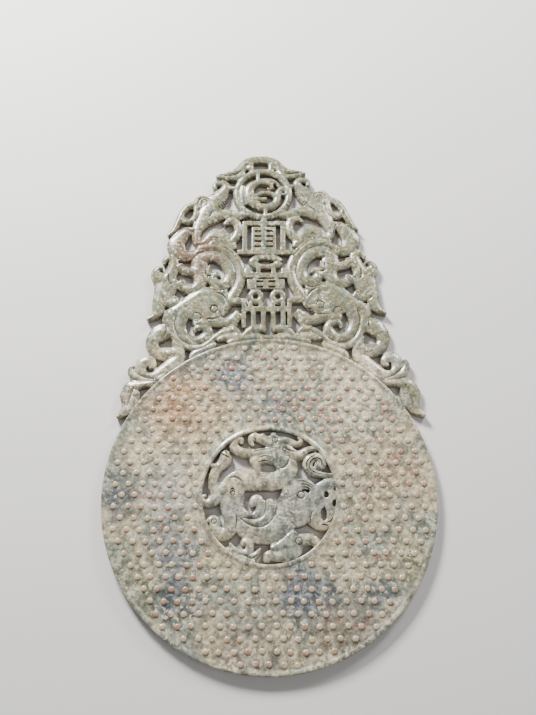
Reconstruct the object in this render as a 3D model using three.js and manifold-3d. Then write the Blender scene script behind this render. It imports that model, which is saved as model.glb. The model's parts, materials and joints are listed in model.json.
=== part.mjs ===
// Jade bi disc with an openwork crest: two dragons on either side of a pierced column, and a
// third coiled in the hole of the disc. Carved from one slab, it lies flat on its plain back.
// Millimetres, +Z up, +Y from the foot of the disc to the top of the crest.
import * as THREE from 'three';
import { ConvexGeometry } from 'three/addons/geometries/ConvexGeometry.js';
import { mergeGeometries, mergeVertices } from 'three/addons/utils/BufferGeometryUtils.js';
import Module from 'manifold-3d';

// Driving sizes. Plan shapes are laid out in modules: one hundredth of the disc's radius.
const DISC_RADIUS = 90;
const MODULE = DISC_RADIUS / 100;
const DISC_THICKNESS = 5.2;
const OPENWORK_THICKNESS = 5;
const RIM_WIDTH = 2.4 * MODULE;
const FIELD_SINK = 0.7; // depth of the grained field below the rims
const HOLE_RADIUS = 39.8 * MODULE;
const CREST_TOP = 238.5; // modules above the centre of the disc
const DISC_FACETS = 60;

// The grains stand in staggered rows.
const GRAIN_PITCH = 8;
const GRAIN_ROW_PITCH = 6.7;
const GRAIN_RADIUS = 2;
const GRAIN_SIDES = 3;
const GRAIN_HEIGHT = 0.6;
const GRAIN_ROOT = 0.2; // how far a grain reaches below the field
const GRAIN_MARGIN = 4.4; // modules between a grain's centre and the edge of the disc

// A band or a groove gets a new facet when it has turned this far, or run this many modules.
const BAND_STEP = { turn: THREE.MathUtils.degToRad(26), run: 8 };
const GROOVE_STEP = { turn: THREE.MathUtils.degToRad(45), run: 16 };
const FINE_STEPS = 12; // samples along each span of a band's curve
const INNER_REACH = 0.85; // widest inner side of a turning band, as a share of its radius

// Corners of the openwork's outline that stand out less than this are dropped (mm2), and so
// are openings smaller than the least one a carver would pierce.
const LEAST_CORNER = 0.65;
const LEAST_OPENING = 3;

// Carved lines, V-shaped in section.
const GROOVE_HALF_WIDTH = 0.9;
const GROOVE_DEPTH = 0.8;
const GROOVE_RISE = 0.3; // how far a groove's cutter stands above the surface it cuts

// The crest is mirror-symmetrical about an axis that leans a little to the left.
const AXIS_LEAN = 0.045;
const AXIS_ZERO = 104;
const RIGHT_SHARE = 0.97;
const RIGHT_RISE = 4.2;
const axisAt = (y) => AXIS_LEAN * (AXIS_ZERO - y);

const wasm = await Module();
wasm.setup();

// ---------------------------------------------------------------- solids

function toSolid(geometry) {
  const bare = geometry.clone();
  bare.deleteAttribute('normal');
  bare.deleteAttribute('uv');
  const merged = mergeVertices(bare, 1e-4);
  const corners = merged.index.array;
  const kept = [];
  for (let i = 0; i < corners.length; i += 3) {
    const [a, b, c] = corners.slice(i, i + 3);
    if (a !== b && b !== c && c !== a) kept.push(a, b, c);
  }
  return new wasm.Manifold(new wasm.Mesh({
    numProp: 3,
    vertProperties: new Float32Array(merged.attributes.position.array),
    triVerts: new Uint32Array(kept),
  }));
}

function toGeometry(solid) {
  const mesh = solid.getMesh();
  const geometry = new THREE.BufferGeometry();
  geometry.setAttribute('position', new THREE.BufferAttribute(mesh.vertProperties, 3));
  geometry.setIndex(new THREE.BufferAttribute(mesh.triVerts, 1));
  geometry.computeVertexNormals();
  return geometry;
}

function joined(solids) {
  if (solids.length === 1) return solids[0];
  const half = Math.ceil(solids.length / 2);
  return joined(solids.slice(0, half)).add(joined(solids.slice(half)));
}

const upright = (shape, height = OPENWORK_THICKNESS, curveSegments = 6) => toSolid(
  new THREE.ExtrudeGeometry(shape, { depth: height, bevelEnabled: false, curveSegments }),
);

// The curve through [x, y, halfWidth] points, thinned to one station per facet.
function stations(points, step) {
  const curve = new THREE.CatmullRomCurve3(points.map((p) => new THREE.Vector3(...p)));
  const fine = curve.getPoints(FINE_STEPS * (points.length - 1));
  const kept = [fine[0]];
  let heading = null;
  for (let i = 1; i < fine.length - 1; i += 1) {
    const last = kept[kept.length - 1];
    const next = Math.atan2(fine[i + 1].y - fine[i].y, fine[i + 1].x - fine[i].x);
    heading ??= next;
    const turn = Math.abs(Math.atan2(Math.sin(next - heading), Math.cos(next - heading)));
    const run = Math.hypot(fine[i].x - last.x, fine[i].y - last.y);
    if (turn > step.turn || run > step.run) {
      kept.push(fine[i]);
      heading = next;
    }
  }
  kept.push(fine[fine.length - 1]);
  return kept;
}

// How sharply a path turns at one stop: the reciprocal of the radius, positive to the left.
function bendAt(before, here, after) {
  const [ax, ay] = [here.x - before.x, here.y - before.y];
  const [bx, by] = [after.x - here.x, after.y - here.y];
  const sides = Math.hypot(ax, ay) * Math.hypot(bx, by) * Math.hypot(ax + bx, ay + by);
  return sides === 0 ? 0 : (2 * (ax * by - ay * bx)) / sides;
}

// The right and left edge of a band at each of its stations, in millimetres. Inside a tight
// turn the band is kept narrower than the turn's radius.
function edgesOf(stops) {
  return stops.map((here, i) => {
    const before = stops[Math.max(i - 1, 0)];
    const after = stops[Math.min(i + 1, stops.length - 1)];
    const right = new THREE.Vector2(after.y - before.y, before.x - after.x).normalize();
    const bend = bendAt(before, here, after);
    return [1, -1].map((side) => {
      const reach = side * bend < 0 ? Math.min(here.z, INNER_REACH / Math.abs(bend)) : here.z;
      return new THREE.Vector2(here.x, here.y).addScaledVector(right, side * reach).multiplyScalar(MODULE);
    });
  });
}

// A flat band along a curve: a convex slab for each stretch between two stations.
function bandSolids(points) {
  const edges = edgesOf(stations(points, BAND_STEP));
  return edges.slice(1).map((end, i) => {
    const corners = [...edges[i], ...end].flatMap(
      ({ x, y }) => [new THREE.Vector3(x, y, 0), new THREE.Vector3(x, y, OPENWORK_THICKNESS)],
    );
    return toSolid(new ConvexGeometry(corners));
  });
}

// A carved line through [x, y] points: a V-shaped prism bent along their curve.
function groove(points) {
  const stops = stations(points.map(([x, y]) => [x, y, GROOVE_HALF_WIDTH]), GROOVE_STEP);
  const edges = edgesOf(stops);
  const count = stops.length - 1;
  const geometry = new THREE.CylinderGeometry(1, 1, 1, 3, count);
  const position = geometry.attributes.position;
  for (let i = 0; i < position.count; i += 1) {
    const along = Math.round((0.5 - position.getY(i)) * count);
    const isAxis = Math.hypot(position.getX(i), position.getZ(i)) < 0.5;
    const isBottom = !isAxis && position.getZ(i) > 0.5;
    const side = position.getX(i) > 0 ? 0 : 1;
    const middle = edges[along][0].clone().lerp(edges[along][1], 0.5);
    const place = isAxis || isBottom ? middle : edges[along][side];
    const up = isBottom ? -GROOVE_DEPTH : GROOVE_RISE;
    position.setXYZ(i, place.x, place.y, OPENWORK_THICKNESS + up);
  }
  return toSolid(geometry);
}

// An upright prism over an ellipse, or over the ring between two ellipses.
function boss(x, y, radiusX, radiusY = radiusX, facets = 10, inner = null) {
  const ellipse = (path, ...radii) => {
    const [acrossX, acrossY] = radii.map((radius) => radius * MODULE);
    return path.absellipse(x * MODULE, y * MODULE, acrossX, acrossY, 0, 2 * Math.PI, false, 0);
  };
  const shape = ellipse(new THREE.Shape(), radiusX, radiusY);
  if (inner) shape.holes.push(ellipse(new THREE.Path(), ...inner));
  return upright(shape, OPENWORK_THICKNESS, facets / 2);
}

// An upright block, given by its centre and half sizes.
function block(x, y, halfX, halfY, from = 0, to = OPENWORK_THICKNESS) {
  const geometry = new THREE.BoxGeometry(2 * halfX * MODULE, 2 * halfY * MODULE, to - from);
  geometry.translate(x * MODULE, y * MODULE, (from + to) / 2);
  return toSolid(geometry);
}

// ---------------------------------------------------------------- one outline for the openwork

// The closed loops around a flat solid's underside, as lists of Vector2.
function outlines(solid) {
  const { vertProperties, triVerts } = solid.getMesh();
  const corner = (i) => new THREE.Vector3().fromArray(vertProperties, 3 * i);
  const rims = new Map();
  for (let i = 0; i < triVerts.length; i += 3) {
    const triangle = Array.from(triVerts.slice(i, i + 3));
    if (triangle.some((index) => corner(index).z > OPENWORK_THICKNESS / 2)) continue;
    triangle.forEach((start, side) => {
      const end = triangle[(side + 1) % 3];
      if (!rims.delete(`${end} ${start}`)) rims.set(`${start} ${end}`, [start, end]);
    });
  }
  const following = new Map(rims.values());
  const loops = [];
  while (following.size > 0) {
    const loop = [];
    let here = following.keys().next().value;
    while (following.has(here)) {
      const next = following.get(here);
      following.delete(here);
      loop.push(new THREE.Vector2(corner(here).x, corner(here).y));
      here = next;
    }
    loops.push(loop);
  }
  return loops;
}

// The loops without the corners that stand out least. A corner stays if the cut across it
// would pass over another.
function thinned(loops) {
  const kept = loops.map((loop) => [...loop]);
  const neighbours = (loop, i) => [-1, 0, 1].map((step) => loop.at((i + step) % loop.length));
  const isFree = (triangle) => !kept.flat().some(
    (point) => !triangle.includes(point) && inTriangle(point, triangle),
  );
  for (const loop of kept) {
    for (let search = true; search && loop.length > 3;) {
      const areas = loop.map((_, i) => Math.abs(THREE.ShapeUtils.area(neighbours(loop, i))));
      const order = areas.map((_, i) => i).sort((a, b) => areas[a] - areas[b]);
      const spare = order.find((i) => areas[i] < LEAST_CORNER && isFree(neighbours(loop, i)));
      search = spare !== undefined;
      if (search) loop.splice(spare, 1);
    }
  }
  return kept;
}

function inTriangle(point, [a, b, c]) {
  const turns = [[a, b], [b, c], [c, a]].map(([from, to]) => THREE.ShapeUtils.area([from, to, point]));
  return turns.every((turn) => turn > 0) || turns.every((turn) => turn < 0);
}

// The same flat solid over a plain outline: no seams, no slivers.
function plainSheet(solid) {
  const loops = outlines(solid).filter((loop) => Math.abs(THREE.ShapeUtils.area(loop)) > LEAST_OPENING);
  const path = new THREE.ShapePath();
  path.subPaths = thinned(loops).map((loop) => new THREE.Path(loop));
  return upright(path.toShapes());
}

// ---------------------------------------------------------------- the disc

function discSolid() {
  const outer = DISC_RADIUS;
  const inner = HOLE_RADIUS;
  const field = DISC_THICKNESS - FIELD_SINK;
  const profile = [
    [inner, 0],
    [outer, 0],
    [outer, DISC_THICKNESS],
    [outer - RIM_WIDTH, DISC_THICKNESS],
    [outer - RIM_WIDTH, field],
    [inner + RIM_WIDTH, field],
    [inner + RIM_WIDTH, DISC_THICKNESS],
    [inner, DISC_THICKNESS],
    [inner, 0],
  ];
  const geometry = new THREE.LatheGeometry(profile.map((p) => new THREE.Vector2(...p)), DISC_FACETS);
  geometry.rotateX(Math.PI / 2);
  return toSolid(geometry);
}

// Staggered rows of low pyramids, in one closed geometry.
function grainSolid() {
  const nearest = HOLE_RADIUS / MODULE + GRAIN_MARGIN;
  const farthest = 100 - GRAIN_MARGIN;
  const rows = Math.floor(farthest / GRAIN_ROW_PITCH);
  const rise = GRAIN_HEIGHT + GRAIN_ROOT;
  const middle = DISC_THICKNESS - FIELD_SINK - GRAIN_ROOT + rise / 2;
  const grains = [];
  for (let row = -rows; row <= rows; row += 1) {
    const y = row * GRAIN_ROW_PITCH;
    const shift = Math.abs(row) % 2 === 0 ? 0 : GRAIN_PITCH / 2;
    for (let x = -96 + shift; x <= 96; x += GRAIN_PITCH) {
      const distance = Math.hypot(x, y);
      if (distance < nearest || distance > farthest) continue;
      const grain = new THREE.ConeGeometry(GRAIN_RADIUS * MODULE, rise, GRAIN_SIDES);
      grain.rotateX(Math.PI / 2);
      grain.translate(x * MODULE, y * MODULE, middle);
      grains.push(grain);
    }
  }
  return toSolid(mergeGeometries(grains));
}

// ---------------------------------------------------------------- the dragon in the hole

const HOLE_DRAGON = [
  // head, neck, the turn over the shoulder and the belly
  [[-9.8, 30.3, 0.9], [-11.2, 32.3, 1.5], [-10.3, 35.8, 2.4], [-6, 34.8, 2.8], [-1, 33, 3.4], [4, 31.5, 5.5],
    [5, 26, 6], [7.5, 22, 5.8], [10.8, 17, 6.6], [9.5, 11.5, 6], [3.5, 8.5, 5.8], [-4, 8.4, 5.8],
    [-11, 9, 6.6], [-17.5, 8.7, 7.2], [-22.3, 4, 7.6], [-22, -3.5, 7.5], [-21, -10, 7],
    [-15.5, -16.8, 6.8], [-7.5, -21.2, 7.3], [0.5, -20.4, 7.8], [7.5, -15, 8.4], [12.5, -8, 9], [17, 0, 9.8]],
  // lower jaw with its hooked end, and the beard
  [[1, 26.5, 3], [-6, 25.8, 2.8], [-13, 25.5, 2.8], [-19, 27, 3.1], [-21.8, 30.5, 2.8], [-20, 34.6, 2.7],
    [-17.2, 33.7, 1.9], [-16.8, 31.6, 1]],
  [[-3, 22.5, 3.6], [-8, 21.4, 3.9], [-7.3, 17.8, 2.7], [-6.8, 13.5, 1.4]],
  // ear and mane
  [[7, 33.5, 2.5], [11, 33.6, 2], [14.5, 31.9, 2], [17.5, 31.2, 1.8], [19.4, 33, 1.4], [18.6, 35, 1],
    [17.2, 34.9, 0.5]],
  [[6, 28.5, 4], [11, 27.7, 3.3], [15.5, 24.3, 3.1], [19, 24.6, 2.9], [22, 27.2, 2], [25.5, 28.6, 1.5],
    [28.5, 28, 1.3]],
  // the two lobes of the wing
  [[-9.3, -7, 0.7], [-10.3, -5, 2], [-7.7, -2.6, 3.3], [-5, -5.4, 3], [-5.6, -9.2, 2.9],
    [-9.3, -11.8, 2.2], [-13.5, -11.6, 2.4], [-18, -8.5, 3]],
  [[-0.4, -3.8, 3], [1.2, -7.2, 3], [-0.6, -11.8, 2.9], [-4.4, -14.8, 2.5],
    [-8.6, -16, 2.4], [-13.6, -14.8, 2.4], [-18.5, -10, 2.5]],
  // upper foreleg, its toe and its heel
  [[-26, 4, 5], [-31.5, 3, 4.3], [-33.4, 8, 3.2], [-33, 13, 3], [-30.8, 16.6, 3.1], [-27.4, 20, 3.9],
    [-26.3, 23.6, 3.6]],
  [[-31, 17.5, 2], [-34.5, 18, 1.5], [-38, 18.5, 1.6]],
  [[-28, 2, 4], [-31.8, -1.2, 4], [-34.5, -4, 3.4], [-38, -4.6, 2.5], [-40.2, -2.6, 1.7], [-39.2, -0.4, 1.1],
      [-37.4, -0.2, 0.6]],
  // lower foreleg
  [[-22, -8, 5.5], [-21.6, -14, 4.9], [-22.8, -19.2, 4.6], [-26.2, -22.6, 4.3], [-30.4, -21.9, 3.9],
    [-32.2, -19, 3.5], [-32.2, -15.6, 3.7], [-33.6, -14.2, 2.8], [-35.8, -14.8, 1.7], [-37.4, -16, 0.9]],
  // leaf scroll at the foot
  [[-23, -27.6, 0.3], [-22.1, -30, 1.6], [-18.5, -32.8, 2.2], [-13.6, -33.3, 2.3], [-11.3, -30.2, 2.4],
    [-12.8, -27, 2.3], [-15.3, -27.6, 1.8], [-15.5, -29.6, 0.7]],
  [[-25, -31.3, 1.5], [-19, -35, 1.8], [-13, -37.4, 2], [-9, -38.6, 1.5]],
  [[-5, -30.6, 0.3], [-6.4, -33, 1.5], [-9.3, -35.3, 2], [-13, -36.8, 1.8]],
  // hind leg: upper and lower toes
  [[1.6, -30.4, 1.9], [6, -29.6, 3.6], [11, -26, 5], [14.6, -22.8, 3.6]],
  [[11, -28, 5], [17.5, -27, 4.6], [22.2, -25.6, 3.5], [26, -26.4, 3.3], [28, -29, 2.2], [27, -31.4, 1.1]],
  [[12, -26, 5.5], [13.5, -31.5, 6], [9, -34.7, 4.2], [3.5, -35.3, 2.8], [-0.5, -35, 3], [-1.8, -38, 1.9]],
  // rump and hind foot, joined to the disc
  [[20, -6, 9], [26, -4, 7], [30.5, 1.5, 6], [33.5, 5.5, 4.5], [37.5, 7.5, 3.5], [41, 8, 3]],
  [[24, -8, 6], [27.5, -14.5, 5.2], [31, -17, 4], [34.8, -14.8, 3], [36.6, -10, 2.8], [36.5, -5, 3.5],
    [37.5, 1, 4]],
  // tail coiled beside the neck
  [[28.4, 19.3, 1], [29.3, 17.3, 2.4], [31.7, 18.6, 2.9], [31.3, 22.2, 2.8], [27.8, 23.4, 2.6],
    [24.3, 21.6, 2.9], [23, 17.8, 3], [25, 14, 2.4], [29.5, 12.5, 1.8], [34, 12.1, 1.6], [39, 11.8, 1.5]],
];
const HOLE_BOSSES = [
  [19.5, 1, 10.8, 10.4, 14], [-9, 37.2, 2], [-4, 36.3, 1.9], [2.4, 36.8, 1.9], [-26.8, 24.6, 3.3],
  [1, 23.5, 6.5, 5], [36, -2, 4.5, 7], [16.5, -10.4, 8.4, 8.8],
];
const HOLE_OPENINGS = [
  [32.3, -11.2, 1.7, 3.6, 8], [34, 0.5, 1.5, 1.9, 8], [38.6, -4.6, 1.2, 2, 6], [22.2, 2.6, 1.9, 1, 6],
];
const HOLE_GROOVES = [
  [[-24, 10.8], [-20, 11], [-16.5, 8.5], [-15, 6]],
  [[4.5, 16.5], [8, 16.5], [11.5, 19.5], [12, 21]],
  [[-15.8, -13], [-8.9, -13.9], [-4.4, -12.1], [-2.1, -8.1], [-2.4, -3.9]],
  [[-16.9, -13.6], [-12.3, -17], [-6.7, -18.6], [-1, -16.8], [3, -11.5], [4.4, -7.5]],
  [[-1, 34.5], [0.5, 31.5], [4, 31], [6, 33.5]],
];

// ---------------------------------------------------------------- the crest's left half

const CREST_HALF = [
  // head, throat and foreleg
  [[-30.5, 211.5, 3.2], [-33.5, 206, 5.6], [-38.5, 200, 7.2], [-42.5, 193, 6.8], [-46, 186, 5.6],
    [-48.3, 179.5, 3.8], [-49.2, 174, 2.8], [-48, 169.3, 2.8], [-44, 169.8, 2.7], [-40.5, 173.2, 3.8],
    [-35.5, 175.3, 5.8], [-30, 172.5, 5.4], [-25.5, 168.8, 3.4], [-23, 165.8, 1.8]],
  // lower jaw
  [[-42, 187, 3.8], [-39, 188.8, 4.2], [-33.5, 191.3, 3.8], [-27, 192, 3.5], [-21.5, 190.3, 3.2],
    [-16, 191, 2.2]],
  // curled snout and the lip's tie to the ring
  [[-29.8, 211.5, 3.1], [-30.3, 215, 2.7], [-33.7, 216.2, 2.1], [-37.2, 215, 1.9], [-37.6, 212, 1.4],
    [-36.2, 211, 0.7]],
  [[-29, 212.6, 1.6], [-26, 212.2, 1.6], [-22.5, 211.6, 1.6]],
  // brow running into the horn, and the ear below it
  [[-42.5, 202, 2.6], [-46.5, 203.4, 3.5], [-51, 199.6, 2.3], [-56, 197.3, 2.3], [-59.3, 192.5, 2.3],
    [-61.3, 187, 2.2], [-63.2, 181.5, 2], [-65.8, 177, 1.7], [-68.6, 174.9, 0.5]],
  [[-50, 198, 1.6], [-50, 192.5, 1.7], [-51.5, 188, 2], [-54.8, 185.6, 2.2], [-58, 187, 2],
    [-59.5, 190, 1.6]],
  // neck
  [[-51.5, 179.5, 2.5], [-56.5, 177.8, 4], [-60, 173.5, 5], [-62.5, 168, 6.2], [-60.5, 162.6, 5.8],
    [-56, 160, 4.3], [-50.5, 160.5, 3.8], [-46, 163.5, 3]],
  // paw raised under the jaw
  [[-25, 171, 3], [-22, 175.5, 3], [-21, 180.5, 2.6], [-22.3, 185, 2.8], [-26, 186.6, 2.2],
    [-29.2, 185, 1.8], [-30.4, 183.4, 0.9]],
  // the great scroll of the body: outer fold, then inner fold
  [[-47, 165, 2.2], [-43, 166.3, 2.4], [-37, 166.6, 2.6], [-31, 165.3, 2.7], [-25.5, 161.5, 3],
    [-21, 156, 3], [-18.7, 150, 3.2], [-18.8, 143.5, 3.3], [-20.5, 137, 3.6], [-23.5, 131, 3.8],
    [-26, 126, 3.5]],
  [[-46.5, 150, 5.5], [-46.3, 155.5, 4.6], [-42.5, 159.3, 4.4], [-36.5, 160, 4.5], [-30.5, 157, 4.6],
    [-26.3, 151.5, 4.6], [-25.2, 146, 4.6], [-27.5, 140.5, 4.3], [-32.5, 138.5, 3.9], [-36.7, 141, 3.4],
    [-37, 144.8, 2.6], [-34.6, 146.3, 1.9], [-32.9, 145, 1]],
  // limb down to the paw, its spur and the claw beside it
  [[-47, 157, 4.8], [-46.2, 150, 6], [-45, 143, 5], [-46.7, 138, 4.2], [-50.5, 135.3, 3.6],
    [-55, 136, 3.4], [-58.3, 138.8, 3], [-58, 141, 1.5]],
  [[-40.5, 146, 1.8], [-40, 150, 1.2], [-39.6, 152.3, 0.3]],
  [[-48, 148.5, 4], [-53, 148.1, 3.1], [-57.5, 149.6, 3.2], [-60, 152, 1.8], [-58.5, 153.3, 0.9],
    [-57, 152.9, 0.4]],
  // small beast climbing the outer edge: body and tail, then its three curls
  [[-63.3, 156.5, 2.9], [-63.8, 151, 4], [-65.5, 145.5, 4.6], [-67.4, 138.5, 7.3], [-69.3, 132, 7],
    [-72, 126, 4.3], [-72.3, 120.5, 4.2], [-74.6, 116.3, 2.6], [-79.4, 113.6, 0.6]],
  [[-63.6, 154, 2.8], [-64.6, 157.4, 2.5], [-67.6, 158, 2], [-69.7, 155.7, 1.7], [-69.8, 153.3, 0.8]],
  [[-69, 142.5, 4], [-73.5, 144.3, 4.5], [-75, 148, 2.8], [-73, 150.6, 1.6], [-71, 150.8, 0.8]],
  [[-67.5, 131, 3], [-67, 126.5, 2.8], [-63.8, 124.6, 2.6], [-60.8, 126.3, 2.3], [-61.2, 129, 1.3],
    [-62.6, 129.5, 0.5]],
  // haunch: the back's outer fold, the leg with its foot, and the tie at the heel
  [[-63.5, 118, 3.5], [-57.5, 122.5, 4.3], [-51, 127.5, 4.3], [-44, 131.8, 4.8], [-36.5, 132.5, 4.5],
    [-30, 129.5, 4.8], [-27.5, 124.5, 3.5], [-28.8, 120.5, 2.4]],
  [[-44, 118, 6], [-37.5, 114, 5], [-31.5, 111.5, 3.6], [-26.5, 112, 3.6], [-22.8, 114.3, 4],
    [-21.3, 117, 3.6], [-21.2, 118.8, 1.8]],
  [[-22, 113, 2.5], [-22.3, 109.5, 1.5], [-23, 107, 1.5]],
  [[-25, 127, 2.7], [-20.5, 126.5, 2.6], [-16, 127, 2]],
  // tail: inner fold curling under the haunch, outer fold running on to the disc's top
  [[-56, 119, 5], [-58, 112.5, 4.8], [-57.3, 106, 4.3], [-54.3, 101.5, 3.7], [-49.5, 99.3, 3.2],
    [-44.5, 99.3, 3.4], [-40, 102.5, 3.9], [-39.5, 106.3, 3], [-42.8, 108.2, 2.3], [-46.3, 108, 2.2],
    [-48, 105.8, 1.3], [-47.3, 104.3, 0.5]],
  [[-64, 119, 3.6], [-65, 113.5, 4.4], [-62.5, 106, 3], [-59.8, 100.3, 2.4], [-55.7, 96.3, 2.3],
    [-50.5, 94.1, 2.1], [-44.5, 94.3, 2], [-39.5, 97, 2.1], [-35, 101, 2.1], [-30.5, 104.5, 2.4],
    [-26, 106.2, 2.3], [-21.8, 106.3, 2], [-19.8, 104.4, 1.4], [-20.5, 102.6, 0.8]],
  // ties between the tail and the disc
  [[-50.2, 87, 0.8], [-48.4, 89.6, 2.2], [-42, 92.6, 2.6], [-37, 95.2, 2.4], [-34.3, 96.8, 0.8]],
  [[-33, 99.5, 1.2], [-29, 101.3, 2.6], [-24, 101.6, 3.2], [-18, 101.5, 2.6]],
  [[-26.5, 97.6, 0.8], [-22.5, 99.4, 2.2], [-16, 100.4, 2.6]],
  // band along the disc's shoulder, coiling at its end
  [[-61, 98, 1.8], [-57.8, 93.5, 3.2], [-57.3, 87.5, 4], [-61.5, 83, 4.5], [-67, 78.8, 4.2],
    [-72, 75.4, 3.2], [-77.2, 75.4, 2.3], [-80.8, 78.3, 3.3], [-81.1, 82.6, 3.8], [-77.6, 85.1, 3.8],
    [-74.2, 83.5, 3], [-73.8, 81, 1.9], [-75.3, 80.2, 0.9]],
  [[-58.5, 82.4, 0.8], [-64, 77.5, 2.5], [-69, 73.6, 2.5], [-76, 72.6, 1.3], [-82, 73.3, 1.8],
    [-86.3, 76.3, 2.5], [-87.4, 79.7, 1.8], [-86.3, 81.9, 0.8]],
  // hanging fin at the end
  [[-71, 71, 1], [-75, 70.2, 2.2], [-81, 69.2, 2.5], [-86, 67.5, 4.9], [-87, 63.5, 6.4],
    [-86.6, 59, 6], [-87.8, 54.5, 4.4], [-90.6, 51, 2.6], [-94, 48.2, 1]],
  // scroll outside the tail
  [[-63.5, 105, 3.8], [-69, 104.7, 6.4], [-74, 100.5, 4.8], [-74.8, 95.5, 4.1], [-71.5, 90.8, 3.9],
    [-66.5, 90, 4.7], [-61, 91.2, 3.6]],
  // leaf beside the arch, and the arch's curl with its tie to the ring
  [[-19, 229, 3], [-24, 225.3, 2.4], [-29, 223.6, 1.7], [-34, 222.4, 1]],
  [[-19, 221.5, 2.8], [-24, 220.8, 2.3], [-30, 220.8, 2], [-35, 221.3, 1.7], [-36.9, 221.1, 0.6]],
  [[-22, 223.4, 2.5], [-31, 222.2, 1.3]],
  [[-16, 232.5, 2], [-12.8, 230.8, 1.8], [-12.5, 227.5, 1.9], [-11, 224.5, 1.5]],
  // half of the arch over the ring
  [[-20, 221.5, 2.6], [-19.6, 227, 3.2], [-16.5, 232.5, 3.2], [-11, 235.2, 3], [-4.5, 235.6, 2.9]],
  // low scrolls on the disc's top, under the column
  [[-16.5, 102.5, 1], [-14, 105.2, 2.2], [-10.5, 107, 3.1], [-6.5, 107.3, 3.1], [-3.4, 106.9, 1.7],
    [-3.2, 105.2, 0.8]],
  [[-18, 100.9, 2.7], [-9, 101.4, 2.8], [-4.5, 101.1, 2.2], [1, 100.9, 1.9]],
];
const CREST_HALF_BOSSES = [
  [-42, 123.3, 16, 11.6, 14], [-57, 140.2, 2.4], [-62.3, 141.3, 2], [-13.7, 228.7, 2.3],
  [-44, 111.5, 6, 4], [-63.5, 126, 4.5, 3.5], [-37, 169.5, 3.5, 2.5], [-30, 134, 3], [-48, 197, 3],
];
const CREST_HALF_GROOVES = [
  // cheek, throat, horn and eye
  [[-47, 197], [-48, 190], [-50, 186], [-54.5, 183]],
  [[-54.5, 180], [-51, 174.5], [-50.5, 170]],
  [[-40, 203.5], [-43.5, 198], [-47, 199.5], [-47.5, 203]],
  // folds of the body
  [[-49, 160], [-43, 163.3], [-36, 163.5], [-30, 161], [-24.5, 155], [-22, 148], [-22.8, 140],
    [-26.5, 133.5]],
  [[-33, 168.5], [-26, 163.5], [-21.5, 159]],
  [[-40, 136.5], [-34, 134.8], [-28, 136.8]],
  [[-52, 122.5], [-50, 114], [-43, 113.5], [-41, 118], [-45, 120]],
  // folds of the tail
  [[-56, 108], [-56, 101.5], [-51, 96.8], [-45, 96.5], [-39, 100]],
  [[-68, 110], [-63, 106], [-60, 99], [-55, 95]],
  [[-86, 80], [-83.5, 77], [-77, 73.8], [-71, 73]],
];

// ---------------------------------------------------------------- ring, column and their ties

const RING = [-4.4, 207.6, 20.4, 20.4, 28, [15.8, 15.8]];
const RING_DRAGON = [
  // body: from the tail over the top, down the left side and round to the hooked end
  [[6.8, 213.2, 0.6], [5.2, 216.2, 1.2], [1.5, 218.1, 1.7], [-4, 218.2, 2], [-9.5, 216.2, 2.6],
    [-13.3, 212.5, 3.4], [-14, 207, 4], [-12.3, 202, 3.6], [-8.5, 198.8, 3], [-4, 197.3, 2.7],
    [1, 197.9, 2.8], [4.6, 200.5, 2.8], [5.8, 204.5, 2.5], [6, 208.3, 2.2], [7.8, 211, 2],
    [10.8, 210.9, 1.6], [12.1, 208.7, 1.2], [10.5, 206.9, 1], [8.9, 207.6, 0.6]],
  // claw inside the back, and the limb across its middle
  [[-6, 216.4, 1.5], [-2, 216.3, 1.6], [1, 215, 1.4], [2, 212.8, 1.1], [0.3, 211.2, 0.9],
    [-1.2, 211.8, 0.5]],
  [[-12, 205.6, 2], [-8.5, 206.2, 1.4], [-5.3, 208.4, 1.7], [-1.5, 208.2, 1.7], [2, 207.6, 1.8],
    [4.5, 206, 2]],
  [[-11, 203.4, 1.4], [-6.5, 203.2, 1.5], [-2.4, 203.6, 1.7]],
  // ties to the ring
  [[-7.8, 217, 1.2], [-7.8, 223.5, 1.2]],
  [[-2.6, 198, 1.2], [-2.6, 191, 1.2]],
  [[-18, 213, 2.2], [-18.5, 207, 3.2], [-16.5, 200, 2.6]],
];

// The column is a geometric fret in upright stretches, each a little to the left of the one
// below it. Bars are [y, half length, half width], and posts, which come in pairs, are
// [distance from the centre, lowest y, highest y, half width].
const COLUMN = [
  {
    centre: -3.6,
    bars: [[184.3, 14.4, 1.8], [172.5, 8.2, 9]],
    posts: [[12.8, 162, 184, 1.7], [0, 182, 188, 1.7]],
    rings: [],
  },
  {
    centre: -2.2,
    bars: [[162.3, 19, 1.9], [145.2, 14.5, 1.9], [138.8, 12.4, 3.7]],
    posts: [[5, 144, 153, 1.4], [12, 144, 150.8, 1.9], [7, 140, 146, 1.3]],
    rings: [[0, 155.3, 11.5, 5.3, 18, [6, 2]]],
  },
  {
    centre: -1.6,
    bars: [[121, 14.6, 1.9]],
    posts: [[10.6, 121, 126, 1.3], [4, 121, 126, 1.3], [14.8, 108, 128, 1.5]],
    rings: [[-7.3, 130, 5.4, 5.4, 12, [1.8, 1.8]], [7.3, 130, 5.4, 5.4, 12, [1.8, 1.8]]],
  },
  { centre: -0.6, bars: [], posts: [[3.2, 107, 121, 1.6], [9.6, 107, 121, 1.6]], rings: [] },
];

// Rows of short strokes cut into the column's two panels.
const STROKE_HALF = [2.4, 0.45];
const STROKE_DEPTH = 0.6;
const STROKE_ROWS = [
  { centre: -3.6, y: 178.3, rows: 4 },
  { centre: -2.2, y: 140.7, rows: 2 },
];
const STROKE_ROW_PITCH = 3.9;

const columnSolids = () => COLUMN.flatMap(({ centre, bars, posts, rings }) => [
  ...bars.map(([y, reach, half]) => block(centre, y, reach, half)),
  ...posts.flatMap(([x, low, high, half]) => [-x, x].map(
    (side) => block(centre + side, (low + high) / 2, half, (high - low) / 2),
  )),
  ...rings.map(([x, ...rest]) => boss(centre + x, ...rest)),
]);

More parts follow.
